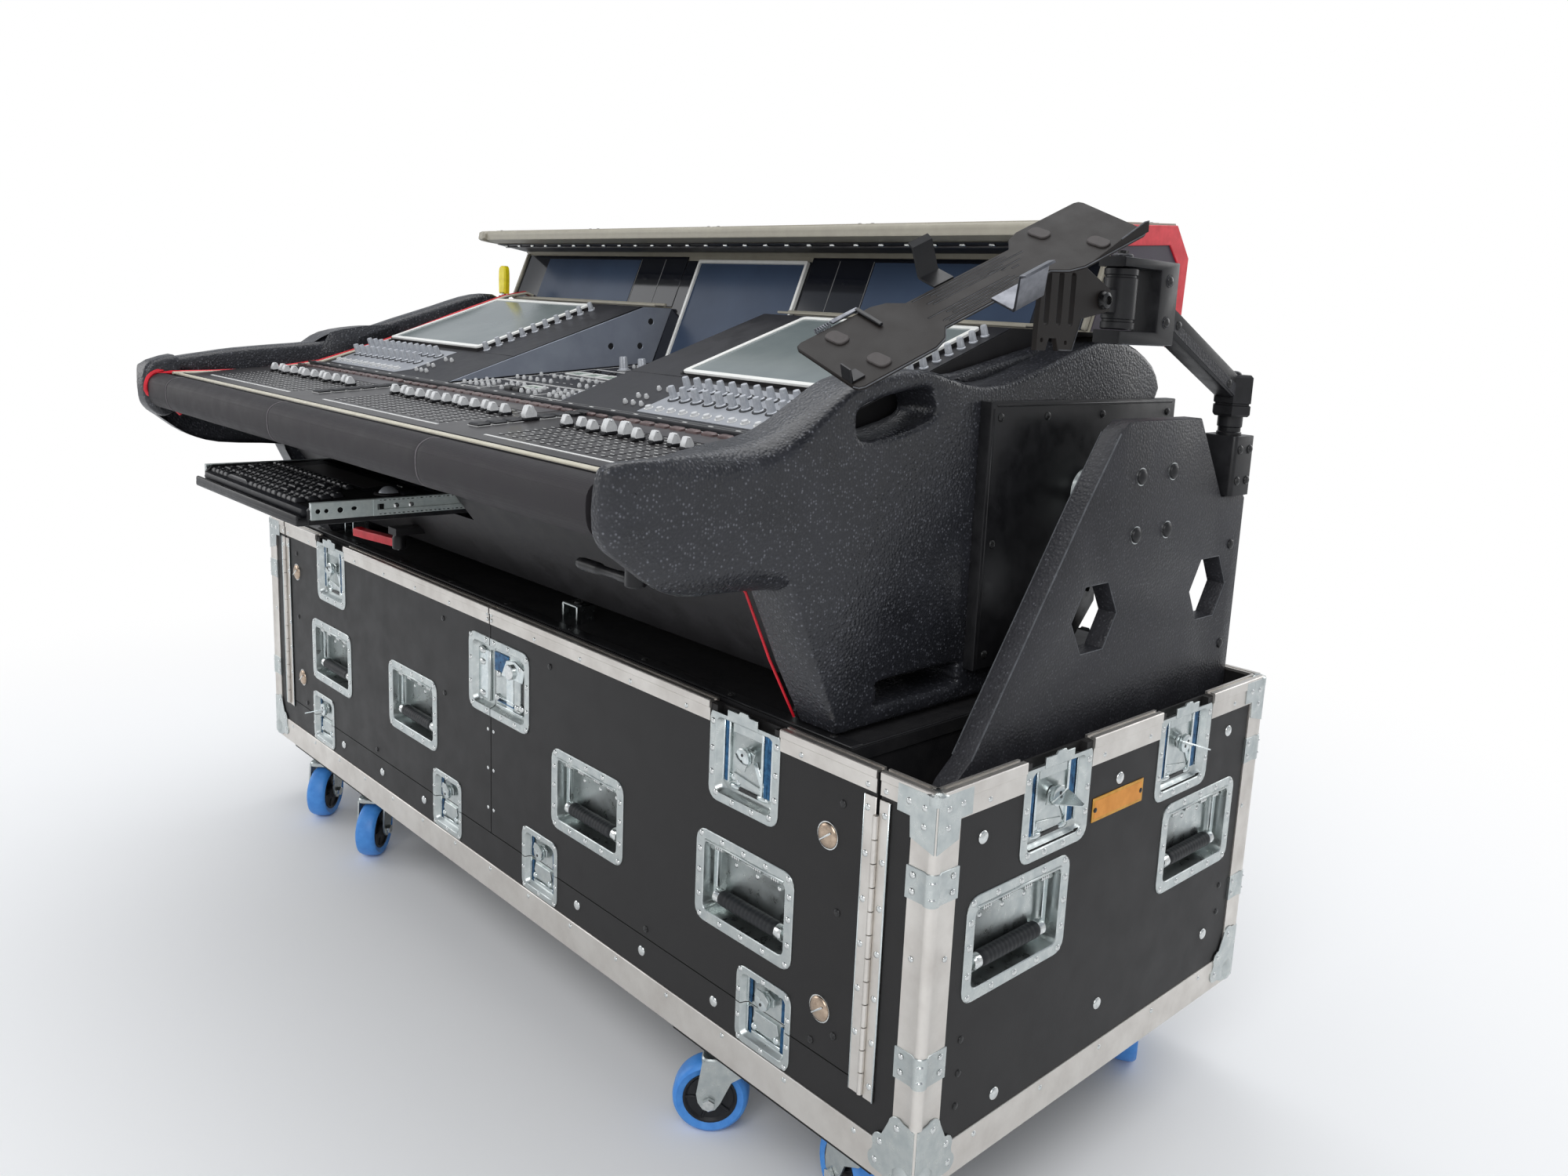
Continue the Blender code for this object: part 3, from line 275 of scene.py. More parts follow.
def makeMaterial(name, look):
    # clouded colour and roughness, with a grain that stands up from the surface
    paint = bpy.data.materials.new(name)
    paint.use_nodes = True
    tree = paint.node_tree
    link = tree.links.new
    surface = tree.nodes["Principled BSDF"]
    surface.inputs["Metallic"].default_value = look.get("metal", 0)
    surface.inputs["Coat Weight"].default_value = look.get("coat", 0)
    surface.inputs["Specular IOR Level"].default_value = look.get("spec", 0.5)
    spot = addNode(tree, "TexCoord")
    cloud = addNode(tree, "TexNoise", Scale=1.0 / look["cloud"], Detail=5.0, Roughness=0.6)
    link(spot.outputs["Object"], cloud.inputs["Vector"])
    tone = addNode(tree, "MapRange")
    tone.inputs["From Min"].default_value = 0.35
    tone.inputs["From Max"].default_value = 0.68
    link(cloud.outputs["Fac"], tone.inputs["Value"])
    blend = addNode(tree, "Mix", data_type="RGBA")
    colourIn = [s for s in blend.inputs if s.type == "RGBA"]
    colourIn[0].default_value, colourIn[1].default_value = (toLinear(shade) for shade in look["tones"])
    link(tone.outputs["Result"], blend.inputs[0])
    link([s for s in blend.outputs if s.type == "RGBA"][0], surface.inputs["Base Color"])
    smear = addNode(tree, "MapRange")
    rough, spread = look["rough"]
    smear.inputs["To Min"].default_value = rough - spread / 2
    smear.inputs["To Max"].default_value = rough + spread
    link(tone.outputs["Result"], smear.inputs["Value"])
    link(smear.outputs["Result"], surface.inputs["Roughness"])
    for kind in {"noise", "pebble", "weave"} & set(look):
        size, height = look[kind]
        place = addNode(tree, "Mapping", Scale=look.get("stretch", (1, 1, 1)))
        link(spot.outputs["Object"], place.inputs["Vector"])
        bump = addNode(tree, "Bump", Strength=1.0, Distance=height)
        if kind == "noise":
            grain = addNode(tree, "TexNoise", Scale=1.0 / size, Detail=3.0)
            link(grain.outputs["Fac"], bump.inputs["Height"])
        elif kind == "pebble":
            grain = addNode(tree, "TexVoronoi", Scale=1.0 / size, feature="SMOOTH_F1", Smoothness=0.6)
            link(grain.outputs["Distance"], bump.inputs["Height"])
            bump.invert = True
            # painted highlight: the speck colour is mixed in at the tips of some pebbles
            if look.get("speck"):  # some pebbles catch the light at their tips
                tip = addNode(tree, "MapRange")
                chance = addNode(tree, "MapRange")
                both = addNode(tree, "Math", operation="MULTIPLY")
                for node, first, last, start, stop in ((tip, 0.1, 0.48, 0.85, 0), (chance, 0.5, 1.0, 0, 1.0)):
                    for socket, value in zip(("From Min", "From Max", "To Min", "To Max"),
                            (first, last, start, stop)):
                        node.inputs[socket].default_value = value
                cells = addNode(tree, "TexVoronoi", Scale=1.0 / size)
                link(place.outputs["Vector"], cells.inputs["Vector"])
                link(cells.outputs["Distance"], tip.inputs["Value"])
                link(cells.outputs["Color"], chance.inputs["Value"])
                link(tip.outputs["Result"], both.inputs[0])
                link(chance.outputs["Result"], both.inputs[1])
                glintMix = addNode(tree, "Mix", data_type="RGBA")
                ends = [s for s in glintMix.inputs if s.type == "RGBA"]
                ends[1].default_value = toLinear(look["speck"])
                link([s for s in blend.outputs if s.type == "RGBA"][0], ends[0])
                link(both.outputs[0], glintMix.inputs[0])
                link([s for s in glintMix.outputs if s.type == "RGBA"][0], surface.inputs["Base Color"])
        else:
            grain, weft = (addNode(tree, "TexWave", Scale=threadShare / size, bands_direction=way,
                Distortion=0.6) for way in ("X", "Y"))
            cross = addNode(tree, "Math", operation="MULTIPLY")
            link(place.outputs["Vector"], weft.inputs["Vector"])
            link(grain.outputs["Fac"], cross.inputs[0])
            link(weft.outputs["Fac"], cross.inputs[1])
            link(cross.outputs[0], bump.inputs["Height"])
        link(place.outputs["Vector"], grain.inputs["Vector"])
        link(bump.outputs["Normal"], surface.inputs["Normal"])
    return paint


for finishName, finishLook in finishes.items():
    materials[finishName] = makeMaterial(finishName, finishLook)
print("finishes:", len(materials))


def mm(*values):
    # an outline's points, written in millimetres one after the other
    return tuple((a / 1000, b / 1000) for a, b in zip(values[::2], values[1::2]))


# Small shapes that are stamped many times: each is a mesh made once
def asMesh(bm):
    mesh = bpy.data.meshes.new("shape")
    bm.to_mesh(mesh)
    bm.free()
    return mesh


def roundEdges(bm, width, steps=2, angle=0.6, keep=None):
    edges = [e for e in bm.edges
        if e.is_manifold and e.calc_face_angle(0) > angle and (keep is None or keep(e))]
    if edges and width:
        bmesh.ops.bevel(bm, geom=edges, offset=width, offset_type="OFFSET", affect="EDGES", segments=steps,
            profile=0.5, material=-1, clamp_overlap=True)


@lru_cache(None)
def block(x, y, z, soft=0.0, steps=1):
    bm = bmesh.new()
    bmesh.ops.create_cube(bm, size=1.0, matrix=Matrix.Diagonal((x, y, z, 1.0)))
    roundEdges(bm, soft, steps)
    return asMesh(bm)


@lru_cache(None)
def disc(radius, depth, count=16, top=None, soft=0.0, steps=1):
    # a round stud standing on z = 0
    bm = bmesh.new()
    bmesh.ops.create_cone(bm, cap_ends=True, segments=count, radius1=radius,
        radius2=radius if top is None else top, depth=depth, matrix=Matrix.Translation((0, 0, depth / 2)))
    roundEdges(bm, soft, steps, keep=lambda e: min(v.co.z for v in e.verts) > depth * 0.9)
    return asMesh(bm)


@lru_cache(None)
def dome(radius, height, count=10, rings=6):
    bm = bmesh.new()
    bmesh.ops.create_uvsphere(bm, u_segments=count, v_segments=rings, radius=radius)
    bmesh.ops.bisect_plane(bm, geom=bm.verts[:] + bm.edges[:] + bm.faces[:], plane_co=(0, 0, 0),
        plane_no=(0, 0, 1), clear_inner=True)
    bmesh.ops.edgeloop_fill(bm, edges=[e for e in bm.edges if e.is_boundary])
    bmesh.ops.scale(bm, vec=(1, 1, height / radius), verts=bm.verts)
    return asMesh(bm)


@lru_cache(None)
def plate(outline, depth, soft=0.0, holes=(), steps=1):
    # a flat outline, with holes, raised to its thickness and rounded at its upper rim
    bm = bmesh.new()
    for loop in (outline,) + holes:
        ring = [bm.verts.new((a, b, 0)) for a, b in loop]
        for start, end in zip(ring, ring[1:] + ring[:1]):
            bm.edges.new((start, end))
    if holes:
        bmesh.ops.triangle_fill(bm, use_beauty=True, use_dissolve=False, edges=bm.edges[:])
    else:
        bm.faces.new(bm.verts[:])
    raised = bmesh.ops.extrude_face_region(bm, geom=bm.faces[:])["geom"]
    bmesh.ops.translate(bm, vec=(0, 0, depth), verts=[g for g in raised if isinstance(g, bmesh.types.BMVert)])
    bmesh.ops.recalc_face_normals(bm, faces=bm.faces[:])
    roundEdges(bm, soft, steps, keep=lambda e: min(abs(v.co.z) for v in e.verts) > abs(depth) * 0.9)
    return asMesh(bm)


@lru_cache(None)
def stack(rings):
    # outlines of one point count, each at its own height, grown from one to the next and capped
    bm = bmesh.new()
    ring = [bm.verts.new((a, b, rings[0][1])) for a, b in rings[0][0]]
    edges = list(bm.faces.new(ring).edges)
    for outline, height in rings[1:]:
        grown = bmesh.ops.extrude_edge_only(bm, edges=edges)["geom"]
        fresh = {g for g in grown if isinstance(g, bmesh.types.BMVert)}
        ring = [next(e.other_vert(v) for e in v.link_edges if e.other_vert(v) in fresh) for v in ring]
        for vert, (a, b) in zip(ring, outline):
            vert.co = (a, b, height)
        edges = [e for e in grown if isinstance(e, bmesh.types.BMEdge) and all(v in fresh for v in e.verts)]
    bmesh.ops.edgeloop_fill(bm, edges=edges)
    bmesh.ops.recalc_face_normals(bm, faces=bm.faces[:])
    return asMesh(bm)


@lru_cache(None)
def turned(profile, count=24):
    # a closed (radius, height) profile spun about z
    bm = bmesh.new()
    ring = [bm.verts.new((radius, 0, height)) for radius, height in profile]
    edges = [bm.edges.new((start, end)) for start, end in zip(ring, ring[1:] + ring[:1])]
    bmesh.ops.spin(bm, geom=ring + edges, cent=(0, 0, 0), axis=(0, 0, 1), angle=math.tau, steps=count,
        use_merge=True)
    bmesh.ops.remove_doubles(bm, verts=bm.verts[:], dist=1e-6)
    loose = [e for e in bm.edges if not e.link_faces]
    bmesh.ops.delete(bm, geom=loose, context="EDGES")
    bmesh.ops.recalc_face_normals(bm, faces=bm.faces[:])
    return asMesh(bm)


def wire(points, radius, detail=2):
    # a round rod along a list of points
    curve = bpy.data.curves.new("wire", "CURVE")
    curve.dimensions = "3D"
    curve.bevel_depth = radius
    curve.bevel_resolution = detail
    curve.use_fill_caps = True
    line = curve.splines.new("POLY")
    line.points.add(len(points) - 1)
    for point, place in zip(line.points, points):
        point.co = (*place, 1.0)
    rod = bpy.data.objects.new("wire", curve)
    mesh = bpy.data.meshes.new_from_object(rod)
    bpy.data.objects.remove(rod)
    bpy.data.curves.remove(curve)
    return mesh


@lru_cache(None)
def roundedBox(width, height, radius, steps=4, at=(0.0, 0.0)):
    # outline of a rectangle with round corners
    points = []
    for quarter, (sx, sy) in enumerate(((1, 1), (-1, 1), (-1, -1), (1, -1))):
        for step in range(steps + 1):
            angle = math.radians(90 * quarter + 90 * step / steps)
            points.append((at[0] + sx * (width / 2 - radius) + radius * math.cos(angle),
                at[1] + sy * (height / 2 - radius) + radius * math.sin(angle)))
    return tuple(points)


@lru_cache(None)
def ringOf(radius, count=12, at=(0.0, 0.0), start=0.0):
    return tuple((at[0] + radius * math.cos(start + math.tau * n / count),
        at[1] + radius * math.sin(start + math.tau * n / count)) for n in range(count))


def facing(origin, across, outward):
    # a place whose x runs across, y up the face and z outward
    z = Vector(outward).normalized()
    x = Vector(across).normalized()
    turn = Matrix((x, z.cross(x), z)).transposed().to_4x4()
    turn.translation = Vector(origin)
    return turn


def at(x=0.0, y=0.0, z=0.0, spin=0.0, tip=0.0, roll=0.0):
    # move, then turn about z, x and y in degrees
    place = Matrix.Translation((x, y, z))
    for degrees, axis in ((spin, "Z"), (tip, "X"), (roll, "Y")):
        if degrees:
            place = place @ Matrix.Rotation(math.radians(degrees), 4, axis)
    return place


# an outline (y, z) is given its width along x
sideways = Matrix(((0, 0, 1, 0), (1, 0, 0, 0), (0, 1, 0, 0), (0, 0, 0, 1)))


def sideOn(x):
    return at(x) @ sideways


def standing(x=0.0, y=0.0, z=0.0):
    # an outline (x, z) is given its depth along -y
    return Matrix(((1, 0, 0, x), (0, 0, -1, y), (0, 1, 0, z), (0, 0, 0, 1)))


def mirrored(side):
    return Matrix.Diagonal((side, 1, 1, 1))


def put(bm, shape, place=Matrix(), paint=0):
    copy = shape.copy()
    copy.transform(place)
    if place.determinant() < 0:
        copy.flip_normals()
    copy.polygons.foreach_set("material_index", [paint] * len(copy.polygons))
    bm.from_mesh(copy)
    bpy.data.meshes.remove(copy)


def stamper(bm, plane):
    # for several shapes on one plane: a function that takes a shape, its place there, its paint and its turns
    def stamp(shape, x=0.0, y=0.0, z=0.0, paint=0, **turns):
        put(bm, shape, plane @ at(x, y, z, **turns), paint)
    return stamp


def atCorners(stamp, shape, x, y, wide, tall, z, paint):
    for across in (-wide, wide):
        for up in (-tall, tall):
            stamp(shape, x + across, y + up, z, paint)


def addBlocks(bm, plane, *rows):
    # rows of width, depth, height, rounding, place on the plane and paint
    for wide, deep, tall, soft, x, y, z, paint in rows:
        put(bm, block(wide, deep, tall, soft), plane @ at(x, y, z), paint)


def finishPiece(name, bm, looks, body, replaces=(), smooth=38):
    bmesh.ops.translate(bm, vec=caseCentre, verts=bm.verts[:])
    mesh = bpy.data.meshes.new(name)
    bm.to_mesh(mesh)
    bm.free()
    mesh.shade_smooth()
    mesh.set_sharp_from_angle(angle=math.radians(smooth))
    for look in looks.split():
        mesh.materials.append(materials[look])
    piece = bpy.data.objects.new(name, mesh)
    bpy.context.scene.collection.objects.link(piece)
    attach(piece, body)
    if replaces:
        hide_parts(*replaces)
    return piece


def paintNode(node, look):
    shape = frame["nodes"][node]
    shape.data.materials.clear()
    shape.data.materials.append(materials[look])


for nodeName in frame["nodes"]:
    look = "blackPaint"
    for part, finish in (("case_shell", "laminate"), ("door", "laminate"), ("deck_box", "plywood"),
            ("caster_board", "plywood"), ("arm_plate", "armPaint"), ("bumper", "pebble"),
            ("pivot_hub", "zinc"), ("chassis", "consolePaint"), ("armrest", "leather"), ("hood", "stone"),
            ("touch_module", "panel"), ("runner", "zinc"), ("wing", "brightZinc"), ("_fork", "zinc"),
            ("_wheel", "tyre"), ("bail", "rubber"), ("locking", "red"), ("plunger", "yellow"),
            ("tray", "trayPaint"), ("knuckle", "blackPaint")):
        if part in nodeName:
            look = finish
    paintNode(nodeName, look)


# Case faces: x along the face, y up from the floor, z outward
end, front, rear = shellHigh.x - caseCentre.x, shellLow.y - caseCentre.y, shellHigh.y - caseCentre.y
faces = {
    "front": facing((0, front, 0), (1, 0, 0), (0, -1, 0)),
    "rear": facing((0, rear, 0), (-1, 0, 0), (0, 1, 0)),
    "right": facing((end, 0, 0), (0, 1, 0), (1, 0, 0)),
    "left": facing((-end, 0, 0), (0, -1, 0), (-1, 0, 0)),
}
corners = [Matrix(((-sx, 0, 0, sx * end), (0, -sy, 0, sy * rear), (0, 0, 1, 0), (0, 0, 0, 1)))
    for sx in (1, -1) for sy in (-1, 1)]  # x and y run inward from each corner
legs = (standing(),  # a corner's long side, y up, z outward
        Matrix(((0, 0, -1, 0), (1, 0, 0, 0), (0, 1, 0, 0), (0, 0, 0, 1))))  # and its end side
rivetSize = dict(radius=0.0042, height=0.0019)
flangeTop = 0.0016  # of every recessed dish


def rivetAt(bm, place, paint=0, scale=1.0):
    put(bm, dome(rivetSize["radius"], rivetSize["height"]), place @ Matrix.Diagonal((scale, scale, scale, 1)),
        paint)


# Edging: aluminium rails, corner extrusions and their zinc braces
edging = dict(proud=0.0018, lip=0.0032, hang=0.0118, doorRail=(0.573, 0.599), rim=(0.564, 0.599),
    lower=(0.1402, 0.185), cornerFront=0.032, cornerEnd=0.0355, ridge=0.0078, railPitch=0.116, doorHinge=0.82)


def railOutline(low, high):
    # an upper rail from the side: (up, out) with its lip line and the groove along the top
    proud, lip, hang = edging["proud"], edging["lip"], edging["hang"]
    line = low + (high - low) * 0.6
    return ((low, 0), (low, proud), (line, proud), (line + 0.0012, lip), (high - 0.001, lip),
        (high, lip - 0.001), (high, -hang * 0.35), (high - 0.0022, -hang * 0.35),
        (high - 0.0022, -hang * 0.7), (high, -hang * 0.7), (high, -hang), (0.5953, -hang), (0.5953, 0))


def lowerOutline():
    low, high = edging["lower"]
    proud = edging["proud"]
    return ((low, -0.008), (low, proud - 0.001), (low + 0.001, proud), (high - 0.0008, proud),
        (high, proud - 0.0008), (high, 0), (0.1417, 0), (0.1417, -0.008))


def cornerOutline(extra=0.0, front=None, end=None):
    # seen from above: x along the front, y along the end, with the round ridge between them
    proud = -edging["proud"] - extra
    front = edging["cornerFront"] if front is None else front
    end = edging["cornerEnd"] if end is None else end
    ridge, middle = edging["ridge"] + extra, 0.0045
    arc = [math.radians(-50 - 170 * n / 8) for n in range(9)]
    points = [(front, 0), (front, proud)]
    points += [(middle + ridge * math.cos(a), middle + ridge * math.sin(a)) for a in arc]
    points += [(proud, end), (0, end), (0, 0)]
    return tuple(points)


def addEdging():
    doorSpan = (0.0018, edging["doorHinge"] - 0.003)
    for name, side in sides.items():
        bm = bmesh.new()
        for first, last in ((doorSpan[0], 0.537), (0.6645, doorSpan[1])):  # cut round the latch
            start = min(side * first, side * last)
            put(bm, plate(railOutline(*edging["doorRail"]), last - first), faces["front"] @ sideOn(start))
        for x in (0.13, 0.25, 0.37, 0.49, 0.7, 0.804):
            rivetAt(bm, faces["front"] @ at(side * x, 0.579, edging["proud"]), 1, 0.8)
        finishPiece("door_rail_" + name, bm, "railX rivet", "door_" + name)
        bm = bmesh.new()
        start = min(side * 0.823, side * 0.896)
        put(bm, plate(railOutline(*edging["doorRail"]), 0.073), faces["front"] @ sideOn(start))
        rivetAt(bm, faces["front"] @ at(side * 0.8305, 0.579, edging["proud"]), 1, 0.8)
        for first, last in mm(-337, -201.5, -74.5, 74.5, 201.5, 337):
            put(bm, plate(railOutline(*edging["rim"]), last - first), faces[name] @ sideOn(first), 2)
        for y in (-0.262, -0.05, 0.05, 0.262):
            rivetAt(bm, faces[name] @ at(y, 0.573, edging["proud"]), 1, 0.8)
        finishPiece("rim_rail_" + name, bm, "railX rivet railY", "case")
    bm = bmesh.new()
    for first, last in mm(-893, -664.5, -537, 537, 664.5, 893):
        put(bm, plate(railOutline(*edging["rim"]), last - first), faces["rear"] @ sideOn(first))
    for n in range(9):
        rivetAt(bm, faces["rear"] @ at(-0.48 + 0.12 * n, 0.573, edging["proud"]), 1, 0.8)
    for face in ("front", "rear"):
        put(bm, plate(lowerOutline(), 1.786), faces[face] @ sideOn(-0.893))
        for n in range(15):
            x = -0.812 + edging["railPitch"] * n
            rivetAt(bm, faces[face] @ at(x, 0.1765, edging["proud"]), 1, 0.85)
    finishPiece("long_rails", bm, "railX rivet", "case")
    bm = bmesh.new()
    for face in ("right", "left"):
        put(bm, plate(lowerOutline(), 0.674), faces[face] @ sideOn(-0.337))
        for n in range(5):
            rivetAt(bm, faces[face] @ at(-0.246 + 0.123 * n, 0.174, edging["proud"]), 1, 0.85)
    finishPiece("end_rails", bm, "railY rivet", "case")
    bm = bmesh.new()
    braces = bmesh.new()
    upright = (0.15, 0.5945)
    for corner in corners:
        put(bm, plate(cornerOutline(), upright[1] - upright[0]), corner @ at(0, 0, upright[0]))
        for z in (0.2225, 0.412):
            for leg, across in zip(legs, (0.0215, 0.0255)):
                rivetAt(bm, corner @ leg @ at(across, z, edging["proud"]), 1, 0.85)
        for z, tall in ((0.495, 0.036), (0.29, 0.036)):
            put(braces, plate(cornerOutline(0.0012, 0.0345, 0.0375), tall, 0.0006),
                corner @ at(0, 0, z - tall / 2))
            for rise in (-0.009, 0.009):
                for leg, across in zip(legs, (0.0255, 0.029)):
                    rivetAt(braces, corner @ leg @ at(across, z + rise, 0.003), 1, 0.9)
                put(braces, block(0.0075, 0.0075, 0.0028, 0.0012),
                    corner @ at(-0.0002, -0.0002, z + rise, spin=45), 1)
    finishPiece("corner_extrusions", bm, "railZ rivet", "case")
    finishPiece("corner_braces", braces, "zinc rivet", "case")


addEdging()
print("edging done")


# Recessed hardware: one closed skin with a flange, walls and a floor
@lru_cache(None)
def dishSkin(width, height, rim, depth, corner, cut=None):
    opening, whole = (width - 2 * rim, height - 2 * rim), (width, height)
    inner = max(corner - rim * 0.55, 0.004)
    rings = (  # rectangle, what it grows by, its corners and its height
        (opening, 0.004, inner, -depth - 0.0006), (opening, 0.004, inner, 0), (whole, 0, corner, 0),
        (whole, 0, corner, 0.0009), (whole, -0.0016, corner - 0.0008, 0.0016),
        (opening, 0.002, inner + 0.001, 0.0016), (opening, 0, inner, 0.0006),
        (opening, -0.003, inner, -depth + 0.003), (opening, -0.009, inner, -depth))
    shape = stack(tuple((roundedBox(size[0] + grow, size[1] + grow, bend), z)
        for size, grow, bend, z in rings))
    if cut is None:
        return shape
    bm = bmesh.new()
    bm.from_mesh(shape)
    place, away = cut
    bmesh.ops.bisect_plane(bm, geom=bm.verts[:] + bm.edges[:] + bm.faces[:], plane_co=place, plane_no=away,
        clear_outer=True)
    bmesh.ops.edgeloop_fill(bm, edges=[e for e in bm.edges if e.is_boundary])
    bmesh.ops.recalc_face_normals(bm, faces=bm.faces[:])
    return asMesh(bm)


# Handles: dish, sprung strap frame and rubber grip
handle = dict(width=0.18, height=0.121, rim=0.015, depth=0.0222, corner=0.017, doorAt=(0.268, 0.6075),
    doorUp=0.3726, endAt=0.194, endUp=0.405, pivot=0.034, sink=0.012, arm=0.0655, drop=0.06, grip=0.0098,
    gripHalf=0.053)


def addHandle(bm, place, width, height):
    fit = stamper(bm, place)
    fit(dishSkin(width, height, handle["rim"], handle["depth"], handle["corner"]))
    across, tall = width / 2 - 0.0075, height / 2 - 0.0072
    for x in (-1, -0.5, 0, 0.5, 1):
        for y in (-tall, tall):
            rivetAt(bm, place @ at(across * x * 0.97, y, flangeTop), 1)
    for x in (-1, 1):
        for y in (-0.52, 0.08, 0.6):
            rivetAt(bm, place @ at(across * x, tall * y, flangeTop), 1)
    top = handle["pivot"] + 0.007
    fit(block(width - 0.034, 0.003, 0.0022, 0.0008), 0, tall - 0.0062, flangeTop + 0.0004)
    for x in (-0.052, -0.02, 0.02, 0.052):  # spring knuckles under the upper flange
        for step in range(4):
            fit(turned(mm(0, -1.4, 4, -1.4, 4.8, 0, 4, 1.4, 0, 1.4), 10), x + (step - 1.5) * 0.0036, top,
                -0.0068, 1, roll=90)
    for x in (-0.04, 0, 0.04):
        rivetAt(bm, place @ at(x, 0.018, -handle["depth"]), 1, 0.8)
    fit(block(0.118, 0.0016, 0.002, 0.0006), 0, 0.027, -handle["depth"] + 0.001, 1)


def addBail(node, place):
    bm = bmesh.new()
    arm, drop, grip, half = handle["arm"], handle["drop"], handle["grip"], handle["gripHalf"]
    hang = place @ at(0, handle["pivot"], -handle["sink"])
    fit = stamper(bm, hang)
    for x in (-1, 1):
        fit(plate(roundedBox(0.0075, drop + 0.006, 0.003, 3), 0.0026, 0.0007), x * arm, -drop / 2, -0.0013)
        fit(wire(((0, 0, 0), (x * 0.0085, 0, 0)), 0.0034), x * arm, 0, 0, 1)
        fit(turned(mm(0, 0, 8.6, 0, 9.2, 1.4, 9.2, 9, 7, 11.2, 0, 11.2), 16), x * (half - 0.001), -drop, 0, 1,
            roll=90 * x)
    skin = [(0, -half), (grip * 0.8, -half), (grip * 0.97, -half + 0.0025), (grip, -half + 0.006)]
    for n in range(13):
        z = -half + 0.012 + n * (2 * half - 0.024) / 12
        skin += [(grip, z - 0.0016), (grip - 0.0004, z), (grip, z + 0.0016)]
    skin += [(grip, half - 0.006), (grip * 0.97, half - 0.0025), (grip * 0.8, half), (0, half)]
    fit(turned(tuple(skin), 20), 0, -drop, 0, 2, roll=90)
    finishPiece(node + "_frame", bm, "brightZinc rivet rubber", node, (node,))


def addHandles():
    for name, side in sides.items():
        bm = bmesh.new()
        for where, x in zip(("inner", "outer"), handle["doorAt"]):
            place = faces["front"] @ at(side * x, handle["doorUp"])
            addHandle(bm, place, handle["width"], handle["height"])
            addBail("front_bail_%s_%s" % (name, where), place)
        finishPiece("door_handles_" + name, bm, "zinc rivet", "door_" + name)
        bm = bmesh.new()
        for where, y in (("front", -1), ("rear", 1)):
            place = faces[name] @ at(y * side * handle["endAt"], handle["endUp"])
            addHandle(bm, place, handle["width"] + 0.004, handle["height"] + 0.003)
            addBail("end_bail_%s_%s" % (name, where), place)
        finishPiece("end_handles_" + name, bm, "zinc rivet", "case")


# Latches: flanged dish, upright channels, hooked plate and a turning wing
topLatch = dict(across=0.6007, up=0.5447, width=0.127, height=0.118, drop=0.0095, rim=0.0125, depth=0.008,
    corner=0.016)
lowLatch = dict(inner=0.145, outer=0.652, split=0.236, width=0.0985, height=0.0996, rim=0.0095, depth=0.0078,
    corner=0.014, hub=0.257)
midLatch = dict(across=0.0235, up=0.489, width=0.181, height=0.1245, rim=0.013, depth=0.008, corner=0.018)
rearLatch = dict(across=0.6007)
endLatch = dict(across=0.138, up=0.549)


def addTopLatch(bm, place):
    # place is the centre of the turning hub
    size = topLatch
    fit = stamper(bm, place)
    cut = ((0, size["drop"] + 0.0425, 0), (0, 1, 0))
    fit(dishSkin(size["width"], size["height"], size["rim"], size["depth"], size["corner"], cut), 0, -0.0093)
    for x in (-1, 1):
        for y in (-0.034, -0.004, 0.03):
            rivetAt(bm, place @ at(x * 0.0575, y, flangeTop), 1)
    for x in (-0.049, -0.018, 0.018, 0.049):
        rivetAt(bm, place @ at(x, -0.0618 + (0.004 if abs(x) > 0.03 else 0), flangeTop), 1)
    floor = -size["depth"]
    for x, wide, paint in ((-0.0435, 0.003, 3), (-0.0385, 0.0062, 2), (-0.033, 0.003, 3), (0.027, 0.004, 3),
            (0.0325, 0.006, 2), (0.0385, 0.0055, 2), (0.044, 0.003, 3)):
        fit(block(wide, 0.079, 0.0036 if paint == 3 else 0.0012, 0.0005), x, -0.002, floor + 0.0018, paint)
    # hooked plate up to the rim, with its tab
    outline = mm(-30, 39, -30, 51.5, -10, 51.5, -7, 55, 7, 55, 10, 51.5, 24.5, 51.5, 24.5, 39)
    fit(plate(outline, 0.0022, 0.0005), 0, 0, 0.0004)
    fit(block(0.052, 0.016, 0.0014, 0.0005), -0.002, 0.031, floor + 0.0016)
    fit(plate(mm(-30, -36, -26, -27, 20, -33, 27, -41), 0.0014, 0.0004), 0, 0, floor)
    fit(block(0.06, 0.005, 0.0014, 0.0005), 0.002, -0.0455, floor + 0.0008, 4)
    for x in (-0.024, 0.026):
        put(bm, dome(0.0068, 0.003), place @ at(x, -0.045, floor) @ Matrix.Diagonal((1.5, 0.62, 1, 1)), 3)
        fit(dome(0.004, 0.0024), x + 0.006, -0.0385, floor, 3)
    fit(block(0.0065, 0.036, 0.0018, 0.0006), 0.021, -0.02, floor + 0.0012, 3, spin=28)
    for x, y in mm(24.5, -10, 29, -28, -27, -34):
        fit(dome(0.005, 0.0026), x, y, floor, 3)


